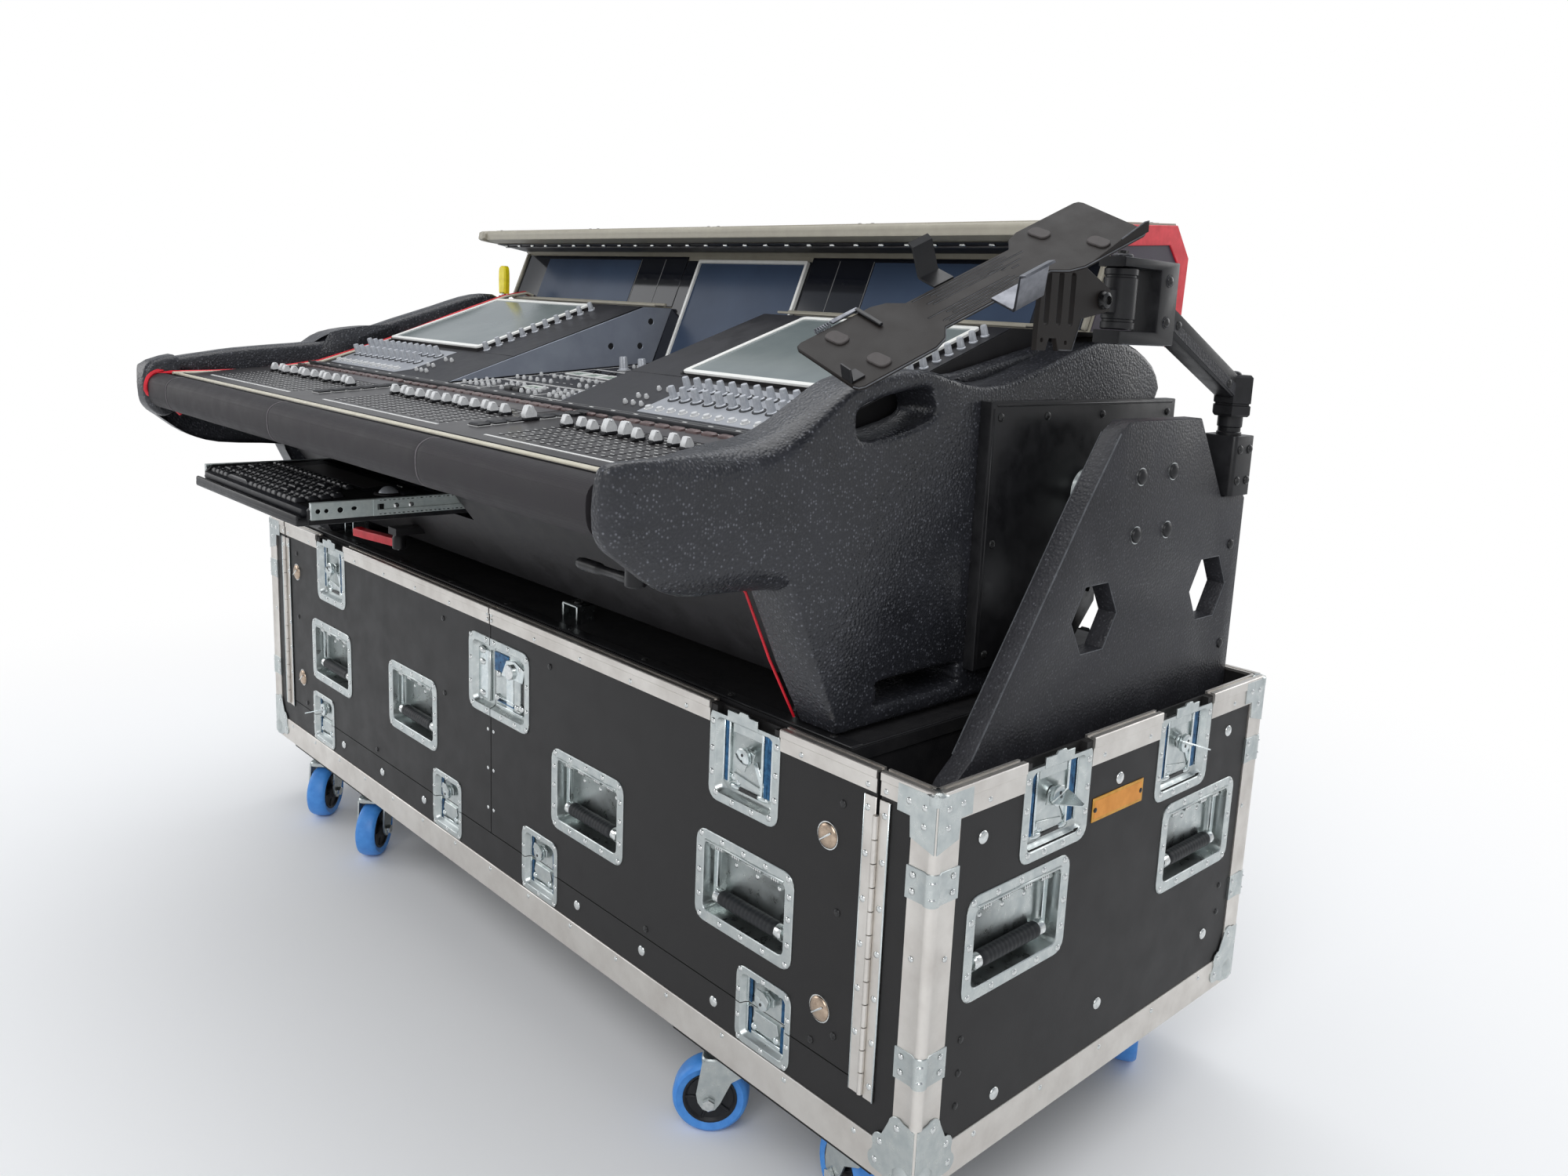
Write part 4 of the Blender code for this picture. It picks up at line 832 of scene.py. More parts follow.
def addWing(node, place, turn, folded):
    # a slotted round knob on a rhomboid lever, with its blade folded flat or standing out
    bm = bmesh.new()
    fit = stamper(bm, place)
    floor = -0.0072
    lever = mm(-18.5, -2, -11, 8, 7, 9, 18, 1, 15, -8, -8, -9.5)
    fit(plate(lever, 0.002, 0.0006), 0, 0, floor + 0.0034, spin=turn)
    fit(turned(mm(0, 0, 8.8, 0, 8.8, 5.2, 11.8, 5.8, 12.2, 6.6, 11.8, 10.4, 10.4, 11.2, 0, 11.2), 22), 0, 0,
        floor, 1)
    for x in (-0.0042, 0.0042):
        put(bm, disc(0.0021, 0.0004, 10), place @ at(0, 0, floor + 0.0111, spin=turn + 60) @ at(x), 2)
    if folded:
        fit(plate(mm(-12, 1, -11.5, 11, 0, 14.6, 11.5, 11, 12, 1, 5, 3.6, -5, 3.6), 0.0016, 0.0004), 0, 0,
            0.0036, spin=turn - 40)
    else:
        put(bm, plate(mm(-15, 0, 15, 0, 11, 12, 1, 33, -3, 33, -12, 11), 0.0018, 0.0005),
            place @ at(0, 0.0009, 0.0028, spin=turn) @ at(tip=90), 1)
        fit(wire(((-0.015, 0, 0), (0.015, 0, 0)), 0.0019), 0, 0, 0.0034, spin=turn)
    finishPiece(node + "_twist" if node in frame["nodes"] else node, bm, "zinc brightZinc darkScrew",
        node if node in frame["bodies"] else "case", (node,) if node in frame["nodes"] else ())


def addLowLatch(bmDoor, bmCase, place):
    # place is the split between door and sill
    size = lowLatch
    fitDoor, fitCase = stamper(bmDoor, place), stamper(bmCase, place)
    for bm, sign in ((bmDoor, 1), (bmCase, -1)):
        put(bm, dishSkin(size["width"], size["height"], size["rim"], size["depth"], size["corner"],
            ((0, sign * 0.0006, 0), (0, -sign, 0))), place)
        for x in (-0.042, 0, 0.042):
            rivetAt(bm, place @ at(x, sign * 0.0445, flangeTop), 1, 0.9)
        for x in (-1, 1):
            rivetAt(bm, place @ at(x * 0.0445, sign * 0.017, flangeTop), 1, 0.9)
    floor = -size["depth"]
    for x, wide, paint in ((-0.034, 0.004, 3), (-0.029, 0.005, 2), (0.029, 0.006, 2), (0.0345, 0.004, 3)):
        for fit, y in ((fitDoor, 0.02), (fitCase, -0.02)):
            fit(block(wide, 0.034, 0.003 if paint == 3 else 0.001, 0.0004), x, y, floor + 0.0014, paint)
    fitCase(plate(mm(-20, -4, 20, -4, 24, -16, 12, -26, -12, -26, -24, -16), 0.003, 0.0006), 0, 0, floor)
    fitCase(block(0.052, 0.005, 0.002, 0.0007), 0, -0.0335, floor + 0.0014, 3)
    for x in (-0.02, 0.02):
        fitDoor(dome(0.0042, 0.0024), x, 0.035, floor, 3)
        fitCase(dome(0.0048, 0.0026), x, -0.024, floor + 0.003, 3)


def addMidLatch(bmLeft, bmRight):
    size = midLatch
    place = faces["front"] @ at(size["across"], size["up"])
    floor = -size["depth"]
    fitRight = stamper(bmRight, place)
    for bm, sign in ((bmLeft, -1), (bmRight, 1)):
        put(bm, dishSkin(size["width"], size["height"], size["rim"], size["depth"], size["corner"],
            ((-size["across"] + sign * 0.0009, 0, 0), (-sign, 0, 0))), place)
    spots = mm(-83.5, 55.5, -36, 56, -11.5, 56, 30, 56, 83.5, 52.5, -84.5, 18, -84.5, -20, 84.5, 12, 84.5,
        -26, -80, -54, -34, -56, 10, -56, 50, -56, 83.5, -54)
    for x, y in spots:
        rivetAt(bmLeft if x < -size["across"] else bmRight, place @ at(x, y, flangeTop), 1)
    addBlocks(bmLeft, place, (0.03, 0.078, 0.0024, 0.001, -0.0575, -0.002, floor + 0.001, 3),
        (0.006, 0.08, 0.004, 0.001, -0.0365, -0.002, floor + 0.002, 0))
    for y in (0.034, 0.016, -0.034):
        put(bmLeft, dome(0.0075, 0.0036),
            place @ at(-0.06, y, floor + 0.0018) @ Matrix.Diagonal((1.4, 0.75, 1, 1)), 1)
    addBlocks(bmRight, place, (0.02, 0.066, 0.003, 0.001, 0.024, -0.01, floor + 0.0012, 3),
        (0.012, 0.05, 0.0008, 0.0003, 0.064, -0.008, floor + 0.0006, 4),
        (0.018, 0.062, 0.0034, 0.001, 0.046, -0.008, floor + 0.0014, 0))
    fitRight(plate(mm(-12, 10, 50, 12, 56, 34, 30, 42, 4, 38), 0.0044, 0.0012), 0.012, -0.002, floor, 3)
    fitRight(disc(0.012, 0.006, 18, None, 0.001), 0.03, 0.021, floor + 0.003, 1)
    fitRight(block(0.04, 0.03, 0.002, 0.0008), -0.003, 0.026, floor + 0.001, 2)
    for y in (-0.03, -0.0365, -0.043):
        fitRight(block(0.076, 0.003, 0.003, 0.0009), 0.022, y + 0.002, floor + 0.0016,
            3 if y != -0.0365 else 2)
    for x, y in mm(-14, -30, 44, -32, 58, -30, 56, 30, -10, 8):
        fitRight(dome(0.0058, 0.0034), x, y, floor + 0.002, 1)


def addLatches():
    looks = "zinc rivet blueZinc brightZinc darkScrew"
    halves = {}
    sill = bmesh.new()
    for name, side in sides.items():
        halves[name] = bmesh.new()
        place = faces["front"] @ at(side * topLatch["across"], topLatch["up"])
        addTopLatch(halves[name], place)
        addWing("top_latch_wing_" + name, place, 200, True)
        for where in ("inner", "outer"):
            spot = faces["front"] @ at(side * lowLatch[where], lowLatch["split"])
            addLowLatch(halves[name], sill, spot)
            hub = faces["front"] @ at(side * lowLatch[where], lowLatch["hub"])
            addWing("low_latch_wing_%s_%s" % (name, where), hub, 20, (name, where) != ("left", "outer"))
    addMidLatch(halves["left"], halves["right"])
    for name, bm in halves.items():
        finishPiece("door_latches_" + name, bm, looks, "door_" + name)
    finishPiece("sill_latches", sill, looks, "case")
    bm = bmesh.new()
    spots = [("rear", x, topLatch["up"]) for x in (-rearLatch["across"], rearLatch["across"])]
    spots += [(name, y, endLatch["up"]) for name in sides for y in (-endLatch["across"], endLatch["across"])]
    for n, (face, x, z) in enumerate(spots):
        place = faces[face] @ at(x, z - (0.0043 if face != "rear" else 0))
        addTopLatch(bm, place)
        addWing("fixed_latch_wing_%d" % n, place, 160 if n % 2 else 20, face == "rear")
    finishPiece("fixed_latches", bm, looks, "case")


# Corners: folded plates at the rim, lobed ball corners at the floor
def addCorners():
    rim, balls = bmesh.new(), bmesh.new()
    thick = 0.0014
    for corner in corners:
        for leg in legs:
            side = corner @ leg @ at(0, 0, edging["proud"] + 0.0001)
            outline = mm(-0.5, 596, 52, 596, 52, 566, 34, 565.5, 32.5, 543, -0.5, 534)
            put(rim, plate(outline, thick, 0.0004), side)
            for x, z in mm(36, 581, 14.5, 580, 14.5, 560):
                rivetAt(rim, side @ at(x, z, thick), 1, 0.9)
            lobes = [(0, 0.144), (0.03, 0.144), (0.042, 0.15)]
            for cx, cz, radius, first, last in ((0.052, 0.162, 0.012, -70, 70),
                    (0.047, 0.185, 0.012, -30, 95), (0.024, 0.215, 0.013, 5, 130)):
                lobes += [(cx + radius * math.cos(math.radians(a)), cz + radius * math.sin(math.radians(a)))
                    for a in range(first, last + 1, 25)]
            lobes += [(0, 0.223)]
            put(balls, plate(tuple(lobes), thick, 0.0004), side)
            for x, z in mm(53.5, 162, 48, 187, 24.5, 215):
                rivetAt(balls, side @ at(x, z, thick), 1)
        # rounded cap over the rim corner, and the ball itself
        put(rim, plate(cornerOutline(0.0016, 0.03, 0.03), 0.012, 0.003), corner @ at(0, 0, 0.585))
        put(rim, dome(0.012, 0.0038, 14), corner @ at(0.007, 0.007, 0.5955))
        put(balls, turned(mm(0, 0, 12, 0, 18.5, 3.5, 21.5, 12, 21.5, 26, 15, 40, 7, 58, 0, 60), 20),
            corner @ at(0.014, 0.014, 0.1395))
    finishPiece("rim_corners", rim, "zinc rivet", "case")
    finishPiece("ball_corners", balls, "zinc rivet", "case")


# Piano hinges: two leaves, knuckles and staggered screws
piano = dict(low=0.223, high=0.568, door=0.8, axis=0.82, case=0.838, thick=0.0018, pitch=0.027, barrel=0.0034,
    screwPitch=0.052, gap=0.0024)


def addHinges():
    caseSide = bmesh.new()
    tall = piano["high"] - piano["low"]
    for name, side in sides.items():
        doorSide = bmesh.new()
        place = faces["front"] @ at(side * piano["axis"], piano["low"])
        for bm, first, last in ((doorSide, piano["door"], piano["axis"] - piano["gap"]),
                (caseSide, piano["axis"] + piano["gap"], piano["case"])):
            wide = last - first
            middle = side * ((first + last) / 2 - piano["axis"])
            put(bm, block(wide, tall, piano["thick"], 0.0005),
                place @ at(middle, tall / 2, piano["thick"] / 2 + 0.0002))
        put(caseSide, block(0.0022, tall, 0.003, 0.0007),
            place @ at(side * (piano["case"] - piano["axis"] - 0.0011), tall / 2, 0.0016), 2)
        put(doorSide, block(0.0012, tall, 0.0026, 0.0005),
            place @ at(side * (piano["door"] - piano["axis"] + 0.0006), tall / 2, 0.0014), 2)
        knuckles = int(tall / piano["pitch"])
        for n in range(knuckles):
            knuckle = turned(((0, 0.0002), (piano["barrel"], 0.0002),
                (piano["barrel"], piano["pitch"] - 0.001), (0, piano["pitch"] - 0.001)), 14)
            put(doorSide if n % 2 else caseSide, knuckle,
                place @ at(0, n * piano["pitch"] + 0.004, 0.004, tip=-90))
        for n in range(7):
            rivetAt(caseSide, place @ at(side * 0.0105, 0.017 + n * piano["screwPitch"], piano["thick"]), 1)
            if n < 6:
                rivetAt(doorSide, place @ at(side * -0.0145, 0.071 + n * piano["screwPitch"], piano["thick"]),
                    1)
        finishPiece("door_hinge_leaf_" + name, doorSide, "railZ rivet brightZinc", "door_" + name)
    finishPiece("case_hinge_leaves", caseSide, "railZ rivet brightZinc", "case")


# Bolts and small fixings on the doors and ends, and the plain brass plate
doorBolts = {
    "bronze": mm(-767.5, 507, -752.6, 296, 747, 500.6, 747.7, 293),
    "dark": mm(767.5, 544, 767, 417, 771, 270, 413.5, 248, -154, 548, 170, 548, -151, 424, -767.5, 544, -767,
        417, -413.5, 248, 735, 248, -735, 248),
    "seam": mm(8.5, 404, 8.5, 341, 8.5, 276, -8.5, 404, -8.5, 341, -8.5, 276),
}
sillBolts = mm(560, 213, 406, 214, 248, 215, -392.5, 212, -229, 214, -560, 213)
endBolts = mm(-268, 532, -10, 534, 254, 536, 246, 241, -13, 239, -213, 208)
endScrews = mm(-280, 303, -280, 263, -281, 224, 280, 303, 280, 263)


@lru_cache(None)
def coachBolt(radius, height):
    profile = [(0, 0), (radius, 0), (radius, height * 0.22)]
    profile += [(radius * math.cos(math.radians(a)), height * (0.22 + 0.78 * math.sin(math.radians(a))))
        for a in (20, 40, 60, 78)]
    profile += [(radius * 0.1, height), (0, height)]
    return turned(tuple(profile))


def addBolts():
    for name, side in sides.items():
        bm = bmesh.new()
        for kind, spots in doorBolts.items():
            for x, z in spots:
                if x * side > 0:
                    place = faces["front"] @ at(x, z)
                    if kind == "bronze":
                        put(bm, coachBolt(0.015, 0.0052), place)
                        put(bm, block(0.021, 0.0024, 0.0016, 0.0005), place @ at(0, 0, 0.005, spin=38), 2)
                        put(bm, disc(0.0162, 0.001, 24), place, 2)
                    elif kind == "dark":
                        put(bm, coachBolt(0.0046, 0.0022), place, 1)
                    else:
                        put(bm, coachBolt(0.003, 0.0014), place, 2)
        for z in (0.5795, 0.588):
            put(bm, coachBolt(0.003, 0.0018), faces["front"] @ at(side * 0.0062, z, edging["lip"] - 0.0012),
                2)
        finishPiece("door_bolts_" + name, bm, "bronze darkScrew rivet", "door_" + name)
    bm = bmesh.new()
    for x, z in sillBolts:
        put(bm, coachBolt(0.0072, 0.0034), faces["front"] @ at(x, z))
        put(bm, coachBolt(0.0072, 0.0034), faces["rear"] @ at(x, z))
    for face in ("right", "left"):
        for y, z in endBolts:
            put(bm, coachBolt(0.0078, 0.0036), faces[face] @ at(y if face == "right" else -y, z))
        for y, z in endScrews:
            put(bm, coachBolt(0.0042, 0.002), faces[face] @ at(y if face == "right" else -y, z), 1)
        place = faces[face] @ at(-0.01 if face == "right" else 0.01, 0.506)
        addBlocks(bm, place, (0.109, 0.03, 0.0012, 0.0004, 0, 0, 0.0006, 2),
            (0.101, 0.0225, 0.0006, 0.0002, 0, 0, 0.0012, 3))
        for x in (-0.049, 0.049):
            put(bm, coachBolt(0.0032, 0.0016), place @ at(x, 0, 0.0012), 1)
    finishPiece("case_bolts", bm, "rivet darkScrew brass brassField", "case")


addHandles()
addLatches()
addCorners()
addHinges()
addBolts()
print("case hardware done")


# Casters: bolted plate, swivel race, folded fork, blue tyre on a black rim
casterSpots = {  # name: x, y, heading in degrees
    "left_outer_front": (-0.778, -0.282, -45), "left_inner_front": (-0.545, -0.282, -45),
    "right_inner_front": (0.545, -0.282, 225), "right_outer_front": (0.778, -0.282, 165),
    "left_outer_rear": (-0.778, 0.282, 200), "left_inner_rear": (-0.545, 0.282, -25),
    "right_inner_rear": (0.545, 0.282, 205), "right_outer_rear": (0.778, 0.282, -60),
}
caster = dict(trail=0.038, axle=0.05, wheel=0.05, wide=0.036, plateTop=0.1267, plate=(0.104, 0.084))


def bothFaces(profile, half):
    # (radius, depth in from the wheel's face) on one face and back along the other
    near = tuple((r, depth - half) for r, depth in profile)
    return near + tuple((r, half - depth) for r, depth in profile[::-1])


def addCasters():
    fixed = bmesh.new()
    for name, (x, y, heading) in casterSpots.items():
        stand = at(x, y, 0, spin=heading)
        square = at(x, y, caster["plateTop"] - 0.0052)
        put(fixed, plate(roundedBox(caster["plate"][0], caster["plate"][1], 0.008, 3), 0.0046, 0.0008),
            square)
        for bx in (-0.041, 0.041):
            for by in (-0.031, 0.031):
                put(fixed, disc(0.0062, 0.0042, 6), square @ at(bx, by, -0.0042), 1)
        fork = bmesh.new()
        put(fork, turned(mm(0, 114, 30, 114, 32.5, 115.5, 32.5, 118.5, 29, 121.2, 0, 121.2), 28), stand)
        put(fork, turned(mm(0, 101, 8, 101, 9.6, 103, 9.6, 106, 0, 106), 12), stand, 1)
        put(fork, plate(roundedBox(0.08, 0.054, 0.01, 3), 0.008, 0.0018), stand @ at(0.01, 0, 0.1045))
        cheek = mm(-28, 108.5, 48, 108.5, 55, 62, 52.5, 50, 46, 40.5, 38, 37.5, 30, 40.5, 23.5, 50, 10, 80,
            -22, 100)
        for sign in (1, -1):
            side = stand @ Matrix(((1, 0, 0, 0), (0, 0, 1, sign * 0.0243 - 0.0014), (0, 1, 0, 0),
                (0, 0, 0, 1)))
            put(fork, plate(cheek, 0.0028), side)
            put(fork, disc(0.0088, 0.0058, 6, None, 0.0008),
                stand @ at(0.038, sign * 0.0262, 0.05, tip=-90 * sign), 1)
        body = "caster_" + name
        finishPiece(body + "_frame", fork, "zinc rivet", body + "_fork", (body + "_fork",))
        wheel = bmesh.new()
        hub = stand @ at(caster["trail"], 0, caster["axle"], tip=90)
        half, radius = caster["wide"] / 2, caster["wheel"]
        tyre = mm(35, 3.5, 44, 0, 47, 1.6, 49, 5.5) + ((radius, 0.011),)
        rim = mm(6.4, -0.6, 12, -0.6, 14, 3, 18, 5.2, 30, 5.2, 33, 2.2, 35.4, 2.2)
        put(wheel, turned(bothFaces(tyre, half), 44), hub)
        put(wheel, turned(bothFaces(rim, half), 36), hub, 1)
        for spoke in range(5):
            for sign in (1, -1):
                put(wheel, block(0.02, 0.0034, 0.0026, 0.0008),
                    hub @ at(spin=72 * spoke) @ at(0.0235, 0, sign * (half - 0.0046)), 1)
        finishPiece(body + "_tyre", wheel, "tyre rim", body + "_wheel", (body + "_wheel",))
    finishPiece("caster_plates", fixed, "zinc rivet", "case")


addCasters()
print("casters done")


# Console: every place here is x across, y along a sloping plane from its front edge, z out of it
def sloping(front, rear):
    run = Vector((0, rear[0] - front[0], rear[1] - front[1])).normalized()
    plane = Matrix(((1, 0, 0), run, Vector((1, 0, 0)).cross(run))).transposed().to_4x4()
    plane.translation = (0, *front)
    return plane


faderPlane = sloping((-0.585, 0.9), (-0.335, 0.92))
wedgePlane = sloping((-0.335, 0.92), (0.035, 1.055))
bayPlane = sloping((-0.334, 0.9203), (0.0575, 0.955))
screenPlane = sloping((0.0575, 0.955), (0.1355, 1.149))
bandPlane = sloping((0.028, 1.0566), (0.1, 1.0566))


def smoothLoop(points, steps=4, sharp=()):
    # a closed outline carried through its points as a smooth curve, but straight into the sharp ones
    loop = []
    count = len(points)
    for n in range(count):
        before, start, stop, after = (Vector(points[(n + k) % count]) for k in (-1, 0, 1, 2))
        leave = Vector((0, 0)) if n in sharp else (stop - before) / 2
        arrive = Vector((0, 0)) if (n + 1) % count in sharp else (after - start) / 2
        for step in range(steps):
            t = step / steps
            loop.append(tuple(
                start * (2 * t**3 - 3 * t**2 + 1) + leave * (t**3 - 2 * t**2 + t)
                + stop * (3 * t**2 - 2 * t**3) + arrive * (t**3 - t**2)))
    return tuple(loop)


def pillow(outline, holes, depth, radius, steps=3):
    # a thick moulding with both rims and its openings rounded over
    bm = bmesh.new()
    for loop in (outline,) + tuple(holes):
        ring = [bm.verts.new((a, b, depth - radius)) for a, b in loop]
        for start, end in zip(ring, ring[1:] + ring[:1]):
            bm.edges.new((start, end))
    bmesh.ops.triangle_fill(bm, use_beauty=True, use_dissolve=False, edges=bm.edges[:])
    bmesh.ops.recalc_face_normals(bm, faces=bm.faces[:])
    if sum(f.normal.z for f in bm.faces) < 0:
        bmesh.ops.reverse_faces(bm, faces=bm.faces[:])
    lower = bm.faces[:]
    raised = bmesh.ops.extrude_face_region(bm, geom=lower, use_keep_orig=True)["geom"]
    upper = [g for g in raised if isinstance(g, bmesh.types.BMFace)]
    bmesh.ops.translate(bm, vec=(0, 0, -(depth - 2 * radius)),
        verts=list({v for f in lower for v in f.verts}))
    bmesh.ops.reverse_faces(bm, faces=lower)
    for cap in (upper, lower):
        angle = 0
        for step in range(steps):
            following = angle + math.pi / 2 / steps
            bmesh.ops.inset_region(bm, faces=cap, thickness=radius * (math.cos(angle) - math.cos(following)),
                depth=radius * (math.sin(following) - math.sin(angle)), use_even_offset=True)
            angle = following
    bmesh.ops.recalc_face_normals(bm, faces=bm.faces[:])
    return asMesh(bm)


# Bumpers: moulded black ends with two hand slots
bumper = dict(inner=0.6555, outer=0.728, round=0.008, fat=0.036, nose=((-0.552, 0.862), (-0.3, 0.88)),
    fade=(-0.43, -0.33), draw=0.044, drawn=(-0.56, -0.47), bulge=0.2, waist=(0.868, 0.05), most=0.054,
    leftDrop=0.014)
bumperOutline = mm(-601, 920, -616, 916, -621, 906, -621, 860, -614, 841, -599, 828, -559, 798, -508, 781,
    -407, 774, -395, 762, -357, 680, -315.6, 603, 101.4, 603, 284, 983, 262, 1015, 193, 1044, 119, 1043, 5,
    1009, -56, 992, -107, 988, -150, 994, -199, 1004, -250, 1002, -309, 990, -353, 966, -403, 939, -456, 927,
    -541, 922)
bumperSlots = (
    mm(-311, 950, -296, 969, -212, 985, -190, 975, -193, 950, -293, 929),
    mm(-256.5, 632, -256, 645, -248, 653, -128, 653, -119, 646, -118, 634, -126, 626, -248, 626))
innerCrest = mm(-150, 992, -91, 998.5, 4, 1019.5, 114, 1042.5, 200, 1049, 235, 1047, 262, 1013, 270, 995, 180,
    1020, 100, 1020, 0, 998, -80, 983)
leftSwell = mm(-600, 904, -602, 917, -582, 926, -516, 938, -473, 945, -409, 952, -327, 961, -261, 979, -185,
    1006, -105, 1033, -45, 1054, 0, 1063, 28, 1058, 24, 1030, -80, 990, -200, 950, -320, 905, -450, 895)
leftTip = mm(-570, 928, -606, 926, -623.5, 914, -628.5, 886, -625, 856, -613, 838, -596, 831, -575, 850)
leftLiner = mm(-335, 925, -318, 968, -296, 983, -205, 996, -172, 984, -172, 940, -290, 918)
trimOutline = mm(37, 1186, 282, 1204.5, 318, 1163, 312.5, 1055, 305, 1040, 281, 1040, 287.5, 1057.5, 292,
    1152, 267, 1177, 134, 1166, 45, 1172.5)


def fattenNose(shape, wide, drawn=0.0):
    # the outer side of the front end is pulled in towards its middle line, so that it swells like a bulb
    bm = bmesh.new()
    bm.from_mesh(shape)
    fat, rim = bumper["fat"], bumper["round"]
    for share in (0, 0.25, 0.48):
        bmesh.ops.bisect_plane(bm, geom=bm.verts[:] + bm.edges[:] + bm.faces[:],
            plane_co=(0, 0, wide - fat * (1 - share)), plane_no=(0, 0, 1))
    start, stop = (Vector(p) for p in bumper["nose"])
    before, after = bumper["fade"]
    for vert in bm.verts:
        rise = (vert.co.z - (wide - fat)) / fat
        fade = min(max((after - vert.co.x) / (after - before), 0), 1.0)
        if rise > 0 and fade > 0:
            spot = vert.co.xy
            share = min(max((spot - start).dot(stop - start) / (stop - start).length_squared, 0), 1.0)
            inward = start.lerp(stop, share) - spot
            edge = max((vert.co.z - (wide - rim)) / rim, 0)
            pull = fat * (1 - math.sqrt(max(1 - rise * rise, 0)))
            pull -= rim * (1 - math.sqrt(max(1 - edge * edge, 0)))
            vert.co.xy = spot + inward.normalized() * min(pull * fade, inward.length * 0.8)
    if drawn:  # and the inner side of the right one, away from the rest
        first, last = bumper["drawn"]
        height, reach = bumper["waist"]
        for vert in bm.verts:
            fade = min(max((last - vert.co.x) / (last - first), 0), 1.0)
            bulge = 1 + bumper["bulge"] * ((vert.co.y - height) / reach) ** 2
            vert.co.z += min(drawn * bulge, bumper["most"]) * fade * (1 - vert.co.z / wide)
    return asMesh(bm)


def addBumpers():
    wide = bumper["outer"] - bumper["inner"]
    for name, side in sides.items():
        drop = bumper["leftDrop"] if side < 0 else 0
        arched = [(y, z - drop if -0.36 < y < -0.14 and z > 0.9 else z) for y, z in bumperOutline]
        outline = smoothLoop(arched, 3, sharp=(10, 11, 12, 13))
        slots = (smoothLoop([(y, z - drop) for y, z in bumperSlots[0]]), smoothLoop(bumperSlots[1]))
        shape = fattenNose(pillow(outline, slots, wide, bumper["round"]), wide,
            0 if side < 0 else bumper["draw"])
        bm = bmesh.new()
        put(bm, shape, mirrored(side) @ sideOn(bumper["inner"]))
        put(bm, pillow(smoothLoop(innerCrest, 2), (), 0.026, 0.006, 2),
            mirrored(side) @ sideOn(bumper["inner"] + 0.0005))
        if side < 0:
            put(bm, pillow(smoothLoop(leftSwell, 2), (), 0.042, 0.01), sideOn(-0.698))
            put(bm, pillow(smoothLoop(leftTip, 3), (), 0.046, 0.009), sideOn(-0.68))
            put(bm, plate(smoothLoop(leftLiner, 2), 0.003, 0.0008), sideOn(-0.659))
        finishPiece("bumper_skin_" + name, bm, "pebble", "console", ("bumper_" + name,), 50)


def padSection(swell):
    # the rest from the side: flat against the console, round in front
    core = mm(-586, 900, -586, 847, -605, 846.5, -616.5, 853, -622.2, 866, -622.2, 888, -614.5, 899, -601,
        903.5)
    middle = Vector((-0.602, 0.875))
    return tuple(tuple(middle + (Vector(p) - middle) * (1.0 + (swell if p[0] < -0.59 else 0))) for p in core)


armrest = dict(half=0.654, right=0.696, ends=(-0.664, 0.706), step=0.0165, seams=(-0.535, -0.09, 0.355),
    seamWidth=0.006, seamDepth=0.035, fill=0.9)


def addArmrest():
    bm = bmesh.new()
    stations = []
    x = -armrest["half"]
    while x < armrest["right"]:
        stations.append(x)
        x += armrest["step"]
    stations.append(armrest["right"])
    for seam in armrest["seams"]:
        stations += [seam - armrest["seamWidth"], seam - 0.0012, seam + 0.0012, seam + armrest["seamWidth"]]
    stations = sorted(s for s in stations if all(
        abs(s - seam) > 0.01 or abs(s - seam) < armrest["seamWidth"] + 1e-6 for seam in armrest["seams"]))
    rings = []
    for x in stations:
        gap = min(abs(x - seam) for seam in armrest["seams"] + armrest["ends"])
        waves = 0.006 * math.sin(x * 31.0) * math.sin(x * 13.0)
        swell = -armrest["seamDepth"] * math.exp(-(gap / 0.0045) ** 2) + waves
        rings.append((smoothLoop(padSection(swell), 3, sharp=(0, 1)), x))
    put(bm, stack(tuple(rings)), sideways)
    for seam in armrest["seams"]:  # a welt cord in each seam
        line = [(seam, y, z) for y, z in smoothLoop(padSection(-0.02), 3, sharp=(0, 1))[4:-1]]
        put(bm, wire(line, 0.0009, 1), paint=1)
    rest = finishPiece("armrest_pad", bm, "leather seamThread", "console", ("armrest",), 60)


# Fader surface: three banks of caps in slots, printed scales, flat keys and segment strips
banks = {  # first cap, count, pitch, larger caps
    "left": (-0.556, 12, 0.0288, ()), "middle": (-0.086, 13, 0.0263, ()), "right": (0.375, 9, 0.0298, (3, 4))}
desk = dict(capUp=0.14, slot=(0.052, 0.185), tickRows=11, keyUp=(0.074, 0.096, 0.118, 0.14, 0.162, 0.184),
    keyAcross=(-0.188, 0.288), masters=(0.296,), strip=0.213)


@lru_cache(None)
def faderCap(size):
    side = mm(-5.8, 3, -6.2, 6.6, -2.6, 13.8, -1, 14.6, 0, 12.4, 1, 14.6, 2.6, 13.8, 6.2, 6.6, 5.8, 3)
    return plate(tuple((a * size, b * size) for a, b in side), 0.0084 * size, 0.0004)


@lru_cache(None)
def ribbedKnob(radius, height):
    def ribs(r, cut):
        return tuple((r * (1 if n % 2 else cut) * math.cos(math.tau * n / 24),
            r * (1 if n % 2 else cut) * math.sin(math.tau * n / 24)) for n in range(24))
    return stack(((ringOf(radius * 1.28, 24), 0), (ringOf(radius * 1.28, 24), height * 0.1),
        (ribs(radius * 1.06, 0.88), height * 0.16), (ribs(radius * 0.92, 0.88), height * 0.92),
        (ringOf(radius * 0.78, 24), height)))


@lru_cache(None)
def softKey(x, y, z):
    return stack(((roundedBox(x, y, 0.0012, 1), 0), (roundedBox(x, y, 0.0012, 1), z * 0.6),
        (roundedBox(x * 0.8, y * 0.8, 0.001, 1), z)))


@lru_cache(None)
def frameShape(width, height, band, depth, corner=0.004):
    return plate(roundedBox(width, height, corner, 3), depth, 0.0006,
        (roundedBox(width - 2 * band, height - 2 * band, corner * 0.6, 3),))


